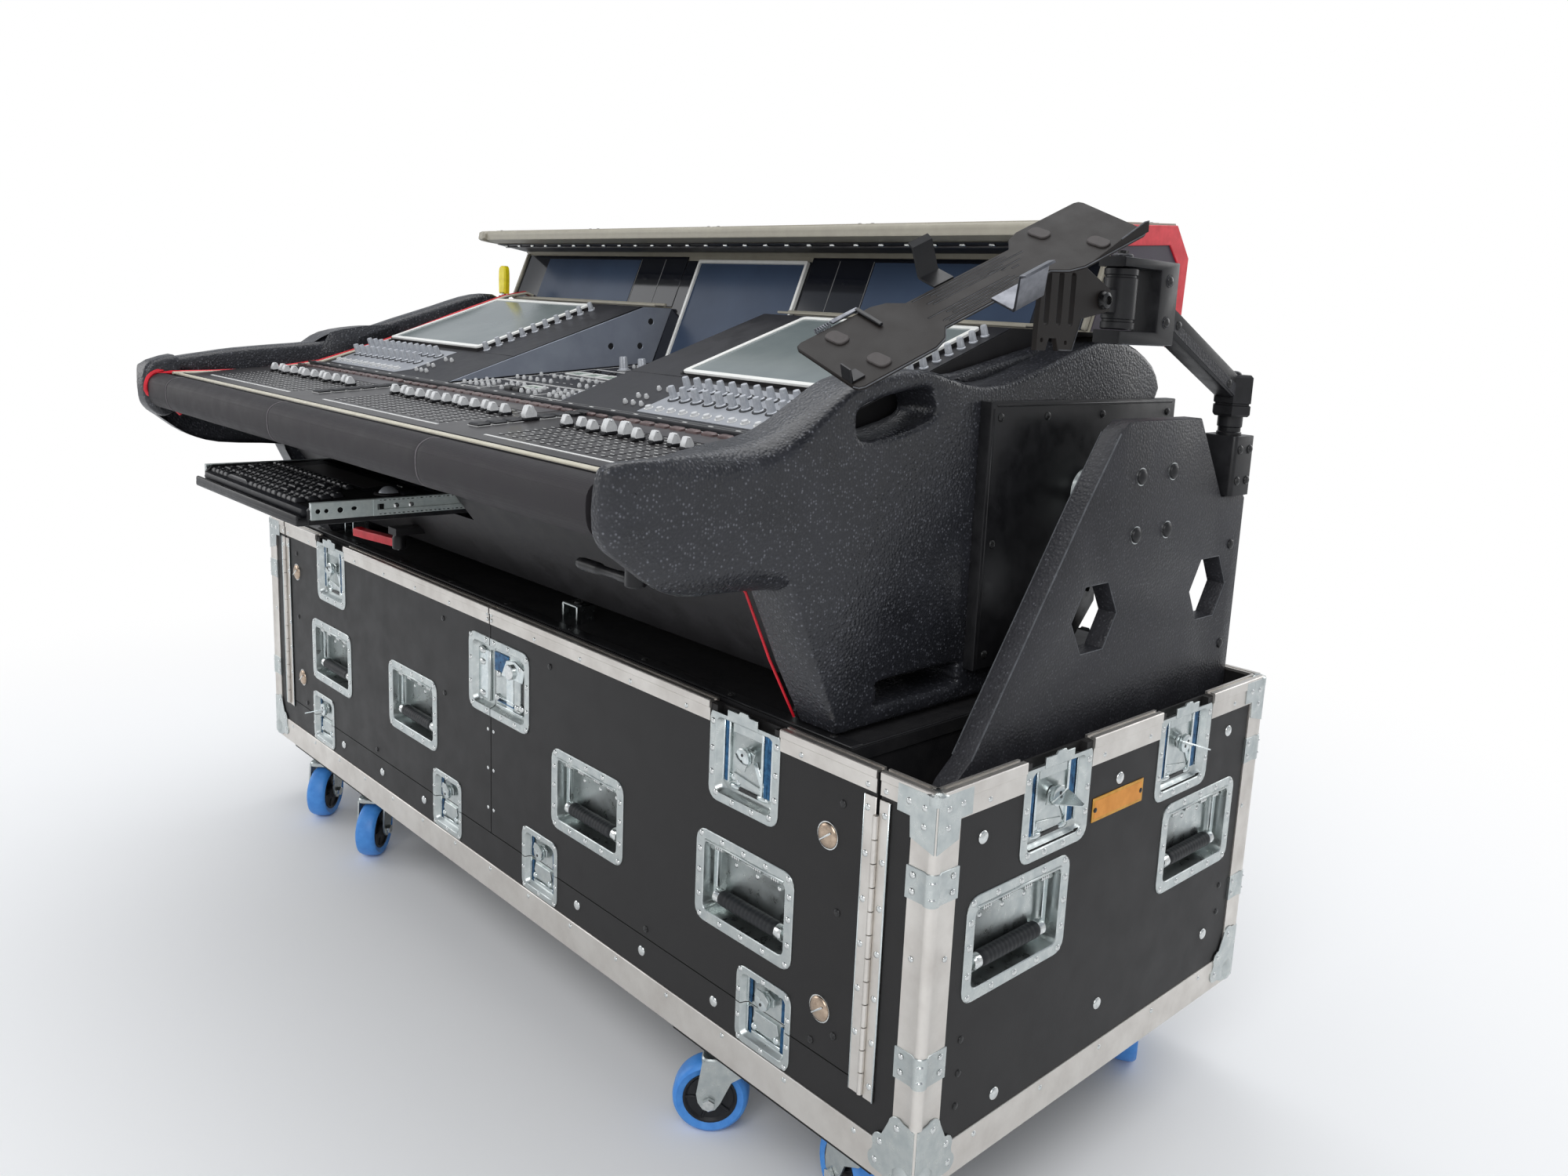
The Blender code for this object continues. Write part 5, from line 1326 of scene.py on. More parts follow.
def addDesk():
    bm = bmesh.new()
    lay = stamper(bm, faderPlane)
    addBlocks(bm, faderPlane, (1.306, 0.246, 0.0014, 0.0005, 0, 0.126, 0.0009, 0),
        (0.044, 0.11, 0.0014, 0.0005, 0.6745, 0.058, 0.0009, 0),
        (1.349, 0.008, 0.0044, 0.0014, 0.0215, 0.0075, 0.002, 1),
        (1.349, 0.0022, 0.0022, 0.0006, 0.0215, 0.0165, 0.0024, 2))
    for first, last in mm(-570, -225, -100, 245, 361, 633):
        lay(block(last - first, 0.0034, 0.0008), (first + last) / 2, 0.042, 0.0018, 3)
    for first, count, pitch, large in banks.values():
        span = (count - 1) * pitch
        lay(block(span + pitch, 0.045, 0.0006), first + span / 2, 0.198, 0.0018, 4)
        for n in range(count):
            x = first + n * pitch
            middle = (desk["slot"][0] + desk["slot"][1]) / 2
            lay(block(0.0022, desk["slot"][1] - desk["slot"][0], 0.0004), x, middle, 0.0018, 5)
            for row in range(desk["tickRows"]):
                y = desk["slot"][0] + 0.006 + row * 0.0112
                for across in (-0.0068, 0.0068):
                    lay(block(0.0072, 0.0008, 0.0003), x + across, y, 0.0017, 3)
            size = 1.25 if n in large else 1.0
            cap = faderPlane @ at(x, desk["capUp"] + 0.003 * math.sin(n * 2.1), 0.0018)
            put(bm, block(0.0084 * size, 0.016 * size, 0.004, 0.0008), cap @ at(0, 0, 0.0022), 5)
            put(bm, faderCap(size), cap @ at(-0.0042 * size) @ sideways, 6)
            put(bm, block(0.0086 * size, 0.001, 0.0006), cap @ at(0, 0, 0.0125 * size), 5)
            lay(softKey(0.0215, 0.009, 0.004), x, desk["strip"], 0.002, 7)
            lay(block(0.015, 0.0018, 0.0004), x, 0.2235, 0.0022, 3)
    for x in desk["masters"]:
        lay(block(0.012, 0.022, 0.004, 0.0008), x, 0.136, 0.0038, 5)
        put(bm, faderCap(1.3), faderPlane @ at(x - 0.0055, 0.136, 0.0018) @ sideways, 6)
        for n in range(2):
            lay(softKey(0.024, 0.011, 0.005), x, 0.196 + n * 0.015, 0.0018, 5)
    for x in desk["keyAcross"]:
        for n, y in enumerate(desk["keyUp"]):
            lay(block(0.025, 0.019, 0.0008), x, y, 0.0018, 3)
            lay(softKey(0.0238, 0.0176, 0.0036), x, y, 0.0018, 5)
    # segment keys between the banks, and the ridge behind them
    for n in range(48):
        x = -0.635 + n * 0.027
        if all(abs(x - (b[0] + k * b[2])) > 0.02 for b in banks.values() for k in range(b[1])):
            lay(softKey(0.02, 0.007, 0.0034), x, desk["strip"], 0.002, 7)
    lay(block(1.306, 0.015, 0.006, 0.0016), 0, 0.238, 0.0036, 2)
    for y in (0.2335, 0.242):
        lay(block(1.3, 0.001, 0.0006), 0, y, 0.0067, 9)
    for n in range(26):
        lay(block(0.008, 0.0022, 0.0006), -0.625 + n * 0.05, 0.2378, 0.0067, 3)
    finishPiece("fader_surface", bm,
        "panel cream panelMatt print silverDark button cap segment frameWhite printDim", "console")


# Wedges: touch screens in white frames, knob fields and side panels
wedge = dict(screenAcross=0.455, screenUp=0.25, frame=(0.338, 0.236), band=0.0085,
    fieldUp=(0.034, 0.064, 0.096), knob=(0.005, 0.0185), inner=0.165, outer=0.654,
    fieldStart={"left": -0.625, "right": 0.342})


def addWedges():
    for name, side in sides.items():
        bm = bmesh.new()
        middle = (wedge["inner"] + wedge["outer"]) / 2 * side
        wide = wedge["outer"] - wedge["inner"]
        lay = stamper(bm, wedgePlane)
        lay(block(wide - 0.001, 0.128, 0.001, 0.0004), middle, 0.065, 0.0007)
        for edge in (-1, 1):  # margins beside the screen
            x = side * wedge["screenAcross"] + edge * (wedge["frame"][0] / 2 + 0.0005)
            limit = middle + edge * (wide / 2 - 0.0005)
            lay(block(abs(limit - x), 0.262, 0.001, 0.0004), (x + limit) / 2, 0.261, 0.0007)
        # white screen frame and its glass
        screen = wedgePlane @ at(side * wedge["screenAcross"], wedge["screenUp"], 0.0062)
        put(bm, frameShape(*wedge["frame"], wedge["band"], 0.0034, 0.007), screen, 1)
        put(bm, block(wedge["frame"][0] - 0.016, wedge["frame"][1] - 0.016, 0.0016, 0.0004),
            screen @ at(0, 0, 0.001), 2)
        # silver field with two staggered rows of knobs and a row of round buttons
        left = wedge["fieldStart"][name]
        lay(plate(mm(0, 12, 262, 12, 290, 30, 290, 116, 0, 116), 0.0012, 0.0004), left, 0, 0.0012, 3)
        for row, up in enumerate(wedge["fieldUp"]):
            for n in range(12 if row == 2 else 11):
                x = left + 0.01 + n * 0.024 + (0 if row != 1 else 0.0105)
                if row == 0:
                    lay(disc(0.0046, 0.004, 14, 0.004), x, up - 0.01, 0.0022, 4)
                    lay(ringDisc(0.0062, 0.0048, 0.0008), x, up - 0.01, 0.0022, 6)
                else:
                    lay(ribbedKnob(*wedge["knob"]), x, up - 0.006, 0.0022, 5)
                    lay(ringDisc(0.0092, 0.007, 0.0012), x, up - 0.006, 0.002, 8)
        # knob column at the right of each screen, with little lamps
        column = side * wedge["screenAcross"] + wedge["frame"][0] / 2 + 0.0145
        for n in range(10):
            lay(ribbedKnob(0.0046, 0.015), column, 0.14 + n * 0.024, 0.0012, 5)
            lay(softKey(0.004, 0.004, 0.0014), column - 0.0105, 0.152 + n * 0.024, 0.0012, 4)
        # dark keys at the left edge of the screen
        column = side * wedge["screenAcross"] - wedge["frame"][0] / 2 - 0.01
        for n in range(11):
            lay(softKey(0.0085, 0.012, 0.004), column, 0.144 + n * 0.021, 0.0012, 7 if n % 2 else 8)
        # small outlined cluster beside the knob field
        edge = left + 0.301 if side < 0 else left - 0.06
        for x, y in mm(10, 30, 10, 52, 28, 30, 28, 52, 46, 30, 19, 80, 40, 80):
            if 0.17 < abs(edge + x) < 0.65:
                lay(pointedButton(), edge + x, y, 0.0012, 4)
        finishPiece("wedge_top_" + name, bm,
            "panelMatt frameWhite touchGlass whitePanel cap knob print darkRed button", "console")
        # satin side of the wedge, in the bay
        bm = bmesh.new()
        cheek = mm(-325, 924.5, 56, 958, 96, 1054.5, 37, 1054.5)
        spots = mm(-30, 985, 30, 987, 52, 1030)
        sunk = [ringOf(0.0056, 14, spot) for spot in spots]
        put(bm, plate(cheek, 0.0014, 0.0005, tuple(sunk)),
            at(side * 0.1648) @ sideways @ at(z=-0.0014 if side > 0 else 0))
        for spot in spots:
            put(bm, disc(0.005, 0.0006, 14), at(side * 0.1646) @ sideways @ at(*spot, -0.0007), 1)
        finishPiece("wedge_cheek_" + name, bm, "wedgePaint darkScrew", "console")


@lru_cache(None)
def pointedButton():
    return stack(((ringOf(0.003, 8), 0), (ringOf(0.0036, 8), 0.0022), (ringOf(0.002, 8), 0.0062)))


@lru_cache(None)
def ringDisc(outer, inner, depth):
    return turned(((inner, 0), (outer, 0), (outer, depth), (inner, depth)), 16)


# Middle bay: outlined key groups, small displays, tall knobs and the middle screen
bay = dict(knobs=(-0.108, -0.054, 0, 0.054, 0.108), lcds=(-0.112, -0.0672, -0.0224, 0.0224, 0.0672, 0.112))


def addBay():
    bm = bmesh.new()
    lay = stamper(bm, bayPlane)
    lay(block(0.328, 0.384, 0.0012, 0.0004), 0, 0.194, 0.0008)
    for x, y, wide, tall in ((0, 0.052, 0.316, 0.086), (0, 0.138, 0.316, 0.078), (0, 0.225, 0.316, 0.088),
            (0, 0.321, 0.316, 0.098), (-0.113, 0.052, 0.082, 0.078), (0.113, 0.052, 0.082, 0.078)):
        lay(frameShape(wide, tall, 0.001, 0.0005, 0.0012), x, y, 0.0013, 1)
    for column in range(16):
        for row in range(3):
            x, y = -0.145 + column * 0.0193, 0.025 + row * 0.019
            if (column + row) % 7 != 5 and not 6 < column < 9:
                lay(pointedButton(), x, y, 0.0014, 2)
    for column in range(15):
        x = -0.142 + column * 0.0203
        if column not in (6, 7, 8):
            lay(pointedButton(), x, 0.115, 0.0014, 2)
        if column % 4 != 1:
            lay(pointedButton(), x, 0.158, 0.0014, 2)
        addBlocks(bm, bayPlane, (0.01, 0.0012, 0.0004, 0, x, 0.169, 0.0015, 1),
            (0.007, 0.0012, 0.0004, 0, x, 0.126, 0.0015, 1))
    for x in bay["lcds"]:  # six greenish displays with a knob behind each
        lay(frameShape(0.041, 0.03, 0.0016, 0.0022, 0.002), x, 0.21, 0.0014, 1)
        lay(block(0.037, 0.026, 0.0012, 0.0003), x, 0.21, 0.0016, 3)
        lay(softKey(0.012, 0.006, 0.003), x, 0.236, 0.0014, 5)
        lay(softKey(0.012, 0.006, 0.003), x, 0.247, 0.0014, 5)
    lay(frameShape(0.046, 0.025, 0.0022, 0.0024, 0.002), 0, 0.062, 0.0014, 1)
    lay(block(0.042, 0.021, 0.0012, 0.0003), 0, 0.062, 0.0016, 3)
    for x in (-0.012, 0.012):
        lay(softKey(0.018, 0.012, 0.006), x, 0.03, 0.0014, 5)
    for x in bay["knobs"]:
        lay(ribbedKnob(0.0072, 0.023), x, 0.295, 0.0014, 4)
        lay(ringDisc(0.0115, 0.0102, 0.0005), x, 0.295, 0.0014, 1)
        for dx in (-0.014, 0, 0.014):
            lay(pointedButton(), x + dx, 0.325, 0.0014, 2)
            lay(pointedButton(), x + dx, 0.348, 0.0014, 2)
    finishPiece("bay_keys", bm, "panelMatt print cap lcd knob button", "console")

    # middle screen: dark glass in a thick pale frame
    bm = bmesh.new()
    lay = stamper(bm, screenPlane)
    lay(block(0.327, 0.193, 0.0014, 0.0004), 0, 0.103, 0.001, 5)
    lay(frameShape(0.286, 0.186, 0.0056, 0.006, 0.003), 0.018, 0.106, 0.0016, 1)
    lay(block(0.276, 0.176, 0.002, 0.0004), 0.018, 0.106, 0.0026, 2)
    # wide glass band with a screen at each side
    for name, side in sides.items():
        addBlocks(bm, screenPlane, (0.56, 0.097, 0.0016, 0.0005, side * 0.445, 0.1585, 0.0012, 5),
            (0.324, 0.085, 0.0008, 0.0002, side * 0.47, 0.157, 0.0022, 2),
            (0.0012, 0.088, 0.0006, 0, side * 0.305, 0.157, 0.0022, 3),
            (0.0012, 0.088, 0.0006, 0, side * 0.23, 0.157, 0.0022, 3))
        # pale bar under the glass band and up its outer end
        addBlocks(bm, bandPlane, (0.49, 0.008, 0.006, 0.0018, side * 0.41, 0.056, 0.0032, 4),
            (0.49, 0.003, 0.004, 0.001, side * 0.41, 0.033, 0.0022, 4),
            (0.49, 0.017, 0.0016, 0.0004, side * 0.41, 0.044, 0.001, 0))
        lay(block(0.008, 0.1, 0.007, 0.002), side * 0.721, 0.159, 0.003, 4)
    lay(wire(((0.158, -0.004, 0), (0.158, 0.0015, 0)), 0.0022), 0, 0.06, 0.003, 4)
    finishPiece("screens", bm, "panel frameWhite glass printDim stone glassBand", "console")


# Hood: thick pale lip with clips in the recess below it, dark ends with a red band
def addHood():
    bm = bmesh.new()
    lip = smoothLoop(mm(130, 1156, 43, 1169, 34, 1177.5, 35.5, 1187, 50, 1190.5, 134, 1198.5, 134, 1180), 3,
        sharp=(0, 5, 6))
    put(bm, plate(lip, 1.456, 0.001), sideOn(-0.728))
    for side in (-1, 1):  # rounded ends that come to a point
        put(bm, plate(smoothLoop(mm(30, 1170, 26, 1180, 33, 1189, 80, 1193, 80, 1165), 3, sharp=(3, 4)),
            0.018, 0.004), at(side * 0.727 - 0.009) @ sideways)
    finishPiece("hood_lip", bm, "stone", "console")
    bm = bmesh.new()
    lay = stamper(bm, sloping((0.056, 1.1655), (0.129, 1.1545)))
    lay(block(1.44, 0.064, 0.0014, 0.0004), 0, 0.035, -0.0002)
    for n in range(28):
        lay(block(0.01, 0.005, 0.004, 0.001), -0.69 + n * 0.0511, 0.008, -0.0026, 1)
    lay(block(1.43, 0.003, 0.003, 0.0008), 0, 0.02, -0.0022, 2)
    finishPiece("hood_recess", bm, "panelMatt rivet silverDark", "console")
    for name, side in sides.items():
        bm = bmesh.new()
        flip = mirrored(side)
        skin = mm(40, 1185, 280, 1204, 316, 1162, 311, 1056, 100, 1056, 135, 1149, 128, 1158, 45, 1171)
        put(bm, plate(skin, 0.0014, 0.0005), flip @ sideOn(0.7283))
        put(bm, plate(trimOutline, 0.003, 0.0008), flip @ sideOn(0.7292), 1)
        finishPiece("hood_side_" + name, bm, "hoodSkin red", "console")


# Red and cream piping inside the left bumper, a red seam on the right one, and the yellow pull
def addPiping():
    bm = bmesh.new()
    line = mm(-574, 833, -591, 849, -622.5, 868, -623.5, 888, -615, 901, -600, 906.2, -586, 903, -335, 923,
        35, 1058, 98, 1059)
    rounded = smoothLoop(line, 3, sharp=(0, 9))[:27]
    inward = [min(max((-0.47 - y) / 0.11, 0), 1.0) * 0.02 for y, z in rounded]
    line = [(shift, y, z) for (y, z), shift in zip(rounded, inward)]
    put(bm, wire([(shift - 0.6535, y, z + 0.0012) for shift, y, z in line], 0.0036))
    put(bm, wire([(shift - 0.6455, y, z + 0.001) for shift, y, z in line[18:]], 0.0026), paint=1)
    leg = mm(-430, 775.5, -407.5, 772.5, -396, 761.5, -358, 680, -317, 605)
    put(bm, wire([(0.654, y, z) for y, z in leg], 0.0016))
    finishPiece("piping", bm, "red cream", "console")
    bm = bmesh.new()
    grip = mm(-12, 0, 12, 0, 13.5, 30, 11, 52, 0, 56, -11, 52, -13.5, 30)
    put(bm, plate(smoothLoop(grip, 3, sharp=(0, 1)), 0.011, 0.003), at(-0.675, 0.0535, 1.065, tip=90))
    put(bm, turned(mm(0, 0, 4.8, 0, 4.8, 40, 0, 40), 14), at(-0.675, 0.048, 1.026), 1)
    put(bm, disc(0.01, 0.006, 18, None, 0.001), at(-0.675, 0.048, 1.0555), 2)
    finishPiece("safety_pull", bm, "yellow zinc blackPaint", "safety_plunger",
        ("safety_plunger",))


addBumpers()
addArmrest()
addDesk()
addWedges()
addBay()
addHood()
addPiping()
print("console done")

# Keyboard drawer: folded tray on bright slides, with a keyboard and its ball
drawer = dict(x=(-0.484, -0.06), y=(-0.6, -0.33), floor=0.734, board=0.01, slide=(0.743, 0.767), start=-0.583,
    seam=-0.497, rear=-0.215, edge=0.0085)
keyboard = dict(x=(-0.474, -0.072), columns=19, rows=6, pitch=0.0186, rowPitch=0.0178, left=-0.464,
    front=0.0105, ball=(-0.107, -0.45, 0.7603), ballRadius=0.015)
keyPlane = sloping((-0.588, 0.7573), (-0.4, 0.7663))


@lru_cache(None)
def keyCap(wide, deep):
    return stack(((roundedBox(wide, deep, 0.0015, 1), 0),
        (roundedBox(wide * 0.97, deep * 0.97, 0.0015, 1), 0.003),
        (roundedBox(wide * 0.74, deep * 0.74, 0.0018, 1), 0.0058)))


def addDrawer():
    bm = bmesh.new()
    (left, right), (front, rear), low = drawer["x"], drawer["y"], drawer["floor"]
    put(bm, block(right - left, rear - front, drawer["board"], 0.003, 2),
        at((left + right) / 2, (front + rear) / 2, low + drawer["board"] / 2))
    put(bm, block(right - left - 0.002, 0.006, 0.016, 0.0026, 2),
        at((left + right) / 2, front + 0.0032, low + 0.008))
    for side, x in ((-1, left), (1, right)):
        fold = ((-0.585, low + 0.001), (-0.585, 0.756), (-0.575, 0.7665), (drawer["rear"], 0.7665),
            (drawer["rear"], low + 0.001))
        put(bm, plate(fold, 0.005, 0.001), at(x - 0.0025 - side * 0.0005) @ sideways)
    finishPiece("drawer_tray", bm, "blackPaint", "keyboard_drawer", ("keyboard_drawer",))
    # slides: a drilled inner member, then the stepped one with its slot, rivets and balls
    bm = bmesh.new()
    bottom, top = drawer["slide"]
    for side, x in ((-1, left), (1, right)):
        outer = x + side * drawer["edge"]
        web = min(outer, outer - side * 0.0014)
        holes = tuple(ringOf(r, 14, (y, 0.755)) for y, r in mm(-573.5, 3.4, -562, 3, -543, 4))
        holes += (tuple((y * 1.4 - 0.5235, z + 0.756) for y, z in ringOf(0.0028)),)
        outline = ((drawer["start"], bottom), (drawer["start"], top), (drawer["seam"] + 0.006, top),
            (drawer["seam"] + 0.006, bottom))
        put(bm, plate(outline, 0.0014, 0.0004, holes), sideOn(web))
        inside = outer - side * 0.0042
        for z in (bottom + 0.0008, top - 0.0008):
            long = drawer["rear"] - drawer["start"]
            put(bm, block(0.007, long, 0.0016, 0.0006), at(inside, drawer["start"] + long / 2, z))
        put(bm, block(0.004, 0.0016, 0.022, 0.0006), at(inside, drawer["start"] + 0.0006, (bottom + top) / 2),
            1)
        start, stop = drawer["seam"], drawer["rear"]
        slot = ((start + 0.006, 0.7515), (start + 0.006, 0.76), (stop - 0.012, 0.76), (stop - 0.012, 0.7515))
        frameOutline = ((start, bottom), (start, top), (stop, top), (stop, bottom))
        step = min(outer + side * 0.0004, outer + side * 0.0012)
        put(bm, plate(frameOutline, 0.0008, 0.0002, (slot,)), sideOn(step))
        # the second block is a near-black patch of painted shade near the stepped member's front end
        addBlocks(bm, Matrix(), (0.001, stop - start - 0.016, 0.011, 0.0002, outer - side * 0.0004,
            (start + stop) / 2, 0.7557, 2),
            (0.0016, 0.007, 0.008, 0.0006, outer + side * 0.0001, start + 0.012, 0.7557, 3))
        for y in (start + 0.034, start + 0.056, start + 0.14, start + 0.23):
            put(bm, dome(0.004, 0.0009), at(outer + side * 0.0001, y, 0.7558, roll=90 * side), 1)
        # the balls alternate with near-black blocks of painted shade between them
        for n in range(38):  # ball rows
            y = start + 0.01 + n * 0.0068
            for z in (bottom + 0.0022, top - 0.0022):
                put(bm, block(0.0008, 0.0038, 0.0015, 0.0003), at(outer + side * 0.001, y, z),
                    3 if n % 2 else 1)
    finishPiece("drawer_slides", bm, "slideZinc rivet slideZinc slot", "keyboard_drawer")
    bm = bmesh.new()
    for side, x in ((-1, left), (1, right)):
        profile = mm(14, 638.5, 14, 770.5, 4, 770.5, 4, 768.8, 10.8, 768.8, 10.8, 741.2, 4, 741.2, 4, 739.5,
            10.8, 739.5, 10.8, 638.5)
        channel = tuple((x + side * a, z) for a, z in profile)
        put(bm, plate(channel, 0.24), standing(y=-0.02))
        for y in (-0.235, -0.14, -0.045):
            put(bm, disc(0.0045, 0.0022, 6), at(x + side * 0.014, y, 0.66, roll=90 * side), 1)
    finishPiece("drawer_channels", bm, "zinc rivet", "console",
        ("drawer_runner_left", "drawer_runner_right"))
    addKeyboard()


def addKeyboard():
    bm = bmesh.new()
    lay = stamper(bm, keyPlane)
    left, right = keyboard["x"]
    side = mm(-588, 744.5, -589.5, 750, -587.5, 756.2, -583.5, 757.8, -403, 766.4, -399.5, 765, -399.5, 744.5)
    put(bm, plate(side, right - left, 0.0026, (), 2), sideOn(left))
    # the first block is a near-black sheet under the keys: painted shade between them
    addBlocks(bm, keyPlane, (right - left - 0.01, 0.11, 0.0008, 0.0003, (left + right) / 2, 0.064, 0.0003, 1),
        (0.26, 0.044, 0.001, 0.0004, -0.3, 0.15, 0.0003, 3))
    for row in range(keyboard["rows"]):
        column = 0
        while column < keyboard["columns"]:
            run = 1
            if row == 0 and column == 4:
                run = 5
            elif (row, column) in ((1, 0), (1, 13), (2, 0), (2, 12), (3, 0), (4, 13)):
                run = 2
            x = keyboard["left"] + (column + (run - 1) / 2) * keyboard["pitch"] + 0.004 * (column > 14)
            y = keyboard["front"] + 0.006 + row * keyboard["rowPitch"] + 0.003 * (row == 5)
            if not (row > 3 and column > 15) and x < right - 0.012:
                lay(keyCap(run * keyboard["pitch"] - 0.0022, 0.0156 if row < 5 else 0.0115), x, y, 0.0004, 2)
                lay(block(0.003, 0.0016, 0.0002), x - run * 0.004 + 0.001, y + 0.0022, 0.00625, 4)
                if (row * 5 + column) % 3:
                    lay(block(0.0018, 0.001, 0.0002), x + 0.0026, y - 0.003, 0.00625, 4)
            column += run
    ballAt = keyboard["ball"]
    put(bm, dome(keyboard["ballRadius"], keyboard["ballRadius"], 24, 14), at(*ballAt), 5)
    put(bm, turned(mm(15, -4, 20.5, -4, 20.5, 5, 18, 6.6, 15.3, 5.6), 28), at(*ballAt), 3)
    for x in (-0.144, -0.085):
        lay(softKey(0.012, 0.02, 0.004), x, 0.158, 0.0006, 2)
    for n in range(3):
        lay(softKey(0.0034, 0.0022, 0.0014), -0.156 + 0.007 * n, 0.174, 0.0006, 4)
    finishPiece("keyboard_keys", bm, "rim slot key panel print knob", "keyboard_drawer",
        ("keyboard",))


# Levers under the console: the red lock and the black release bar
def addLevers():
    bm = bmesh.new()
    x, y = -0.33, -0.335
    blade = mm(10, -4, 6, 8, -40, 6, -100, -4, -130, -7, -138, -16, -130, -24.5, -100, -21, -30, -10)
    put(bm, plate(tuple((x + a, y + b) for a, b in blade), 0.014, 0.0022, (), 2), at(z=0.633))
    put(bm, turned(mm(0, 630, 10, 630, 11.2, 631.2, 11.2, 649, 9, 654.5, 0, 654.5), 20), at(x, y), 2)
    put(bm, disc(0.005, 0.0016, 6), at(x, y, 0.6286), 1)
    for n in range(4):
        put(bm, block(0.0016, 0.011, 0.0012, 0.0004), at(x - 0.112 - n * 0.0052, y - 0.015, 0.6474))
    finishPiece("lock_lever", bm, "red rivet blackPaint", "locking_lever", ("locking_lever",))
    bm = bmesh.new()
    x, y = 0.585, -0.49
    put(bm, turned(mm(0, 765.2, 10, 765.2, 11.8, 767, 11.8, 794.4, 0, 794.4), 22), at(x, y))
    bar = [(0, 0), (0.0052, 0), (0.0058, 0.0016), (0.0058, 0.03), (0.005, 0.034), (0.005, 0.062),
        (0.0066, 0.067)]
    bar += [(0.0066 + 0.0006 * (n % 2), 0.069 + n * 0.0034) for n in range(11)]
    bar += [(0.006, 0.108), (0, 0.1085)]
    put(bm, turned(tuple(bar), 18), at(x, y, 0.7718, roll=-90))
    put(bm, disc(0.0052, 0.0016, 6), at(x, y, 0.764), 1)
    finishPiece("release_bar", bm, "blackPaint rivet", "release_lever", ("release_lever",))


# Flip arms: thick boards with six-sided hand holes, round bolts, hubs and pivot brackets
arm = dict(inner=0.82, outer=0.85, hole=0.047, holes=((-0.017, 0.7205), (0.25, 0.725)), round=0.003,
    bolts=mm(57, 887, 130, 890, 56, 815, 127, 816), pivot=(0.0925, 0.8525))


def addArms():
    outline = mm(-300, 154.3, -300, 514, -260, 570, -232, 592, -54, 859, 5, 942, 25, 955, 190, 955, 262, 849,
        322, 849, 328, 843, 328, 154.3)
    board = pillow(outline, [ringOf(arm["hole"], 6, spot) for spot in arm["holes"]],
        arm["outer"] - arm["inner"], arm["round"], 2)
    for name, side in sides.items():
        flip = mirrored(side)
        bm = bmesh.new()
        put(bm, board, flip @ sideOn(arm["inner"]))
        # lighter lines along the slanted front and round the hand holes: worn paint with a painted edge
        # highlight
        front = ((-0.2325, 0.5912), (-0.0545, 0.8582), (0.0045, 0.9412))
        for start, stop in zip(front, front[1:]):
            for x in (arm["inner"] + 0.0014, arm["outer"] - 0.0014):
                put(bm, wire(((x, start[0] + 0.001, start[1] - 0.0006),
                    (x, stop[0] + 0.001, stop[1] - 0.0006)), 0.0011, 1), flip, 1)
        for spot in arm["holes"]:
            ring = ringOf(arm["hole"] + 0.001, 6, spot)
            put(bm, wire([(arm["outer"] - 0.0012, *p) for p in ring + ring[:1]], 0.0009, 1), flip, 1)
        finishPiece("arm_board_" + name, bm, "armPaint wornEdge", "case",
            ("arm_plate_" + name,))
        bm = bmesh.new()
        lay = stamper(bm, flip)
        for spot in arm["bolts"]:
            lay(coachBolt(0.0098, 0.0056), arm["outer"], *spot, roll=90)
            lay(disc(0.0112, 0.0008, 24), arm["outer"] - 0.0002, *spot, 2, roll=90)
        for spot in mm(-270, 350, -270, 450, 300, 640, 300, 780):
            lay(coachBolt(0.007, 0.0036), arm["outer"], *spot, roll=90)
        hub = roundedBox(0.1, 0.1, 0.008, 4, arm["pivot"])
        put(bm, plate(hub, 0.0297, 0.002, (ringOf(0.0186, 32, arm["pivot"]),)),
            flip @ sideOn(0.8197) @ Matrix.Diagonal((1, 1, -1, 1)), 1)
        for y in (-0.037, 0.037):
            for z in (-0.037, 0.037):
                lay(coachBolt(0.0058, 0.0032), 0.79, arm["pivot"][0] + y, arm["pivot"][1] + z, 2, roll=-90)
        lay(turned(mm(19, 0, 29, 0, 29, 1.6, 28, 2.2, 19, 2.2), 30), 0.79, *arm["pivot"], 2, roll=-90)
        finishPiece("arm_bolts_" + name, bm, "blackPaint zinc rivet", "case", ("pivot_hub_" + name,))
        bm = bmesh.new()
        bracket = mm(-110, 645, 90, 645, 140, 700, 140, 900, 300, 900, 300, 970, -110, 970)
        put(bm, plate(bracket, 0.0165, 0.0024, (), 2), flip @ sideOn(0.7285))
        lay = stamper(bm, flip)
        lay(turned(mm(0, 0, 18, 0, 18, 70, 16, 71, 0, 71), 28), 0.744, *arm["pivot"], 1, roll=90)
        lay(turned(mm(18, 0, 30, 0, 28, 6, 18, 7), 28), 0.745, *arm["pivot"], 1, roll=90)
        for y, z in mm(-92, 952, 0, 952, 120, 952, 280, 952, 280, 918, -92, 800, -92, 663, 70, 663, 122, 720,
                122, 800, -30, 663):
            lay(coachBolt(0.0052, 0.0026), 0.745, y, z, 2, roll=90)
        addBlocks(bm, flip, (0.002, 0.39, 0.003, 0.0008, 0.7452, 0.095, 0.966, 0),
            (0.002, 0.003, 0.31, 0.0008, 0.7452, -0.105, 0.808, 0))
        finishPiece("pivot_plate_" + name, bm, "blackPaint zinc darkScrew", "console",
            ("pivot_bracket_" + name,))


# Tablet arm: socket, post with its collar, boom, yoke, knuckle and the slotted tray
post = dict(x=0.834, y=0.292, radius=0.0165, knuckle=(0.84, -0.012), tilt=(-0.066, 1.092))
tray = dict(frontRight=(0.85, -0.437, 0.995), rearRight=(0.925, -0.098, 1.163),
    frontLeft=(0.755, -0.433, 1.029), bar=0.11, waist=0.02, corner=0.008, thick=0.008,
    pads=mm(-80, 37, -22, 42, -80, 306, -22, 334))


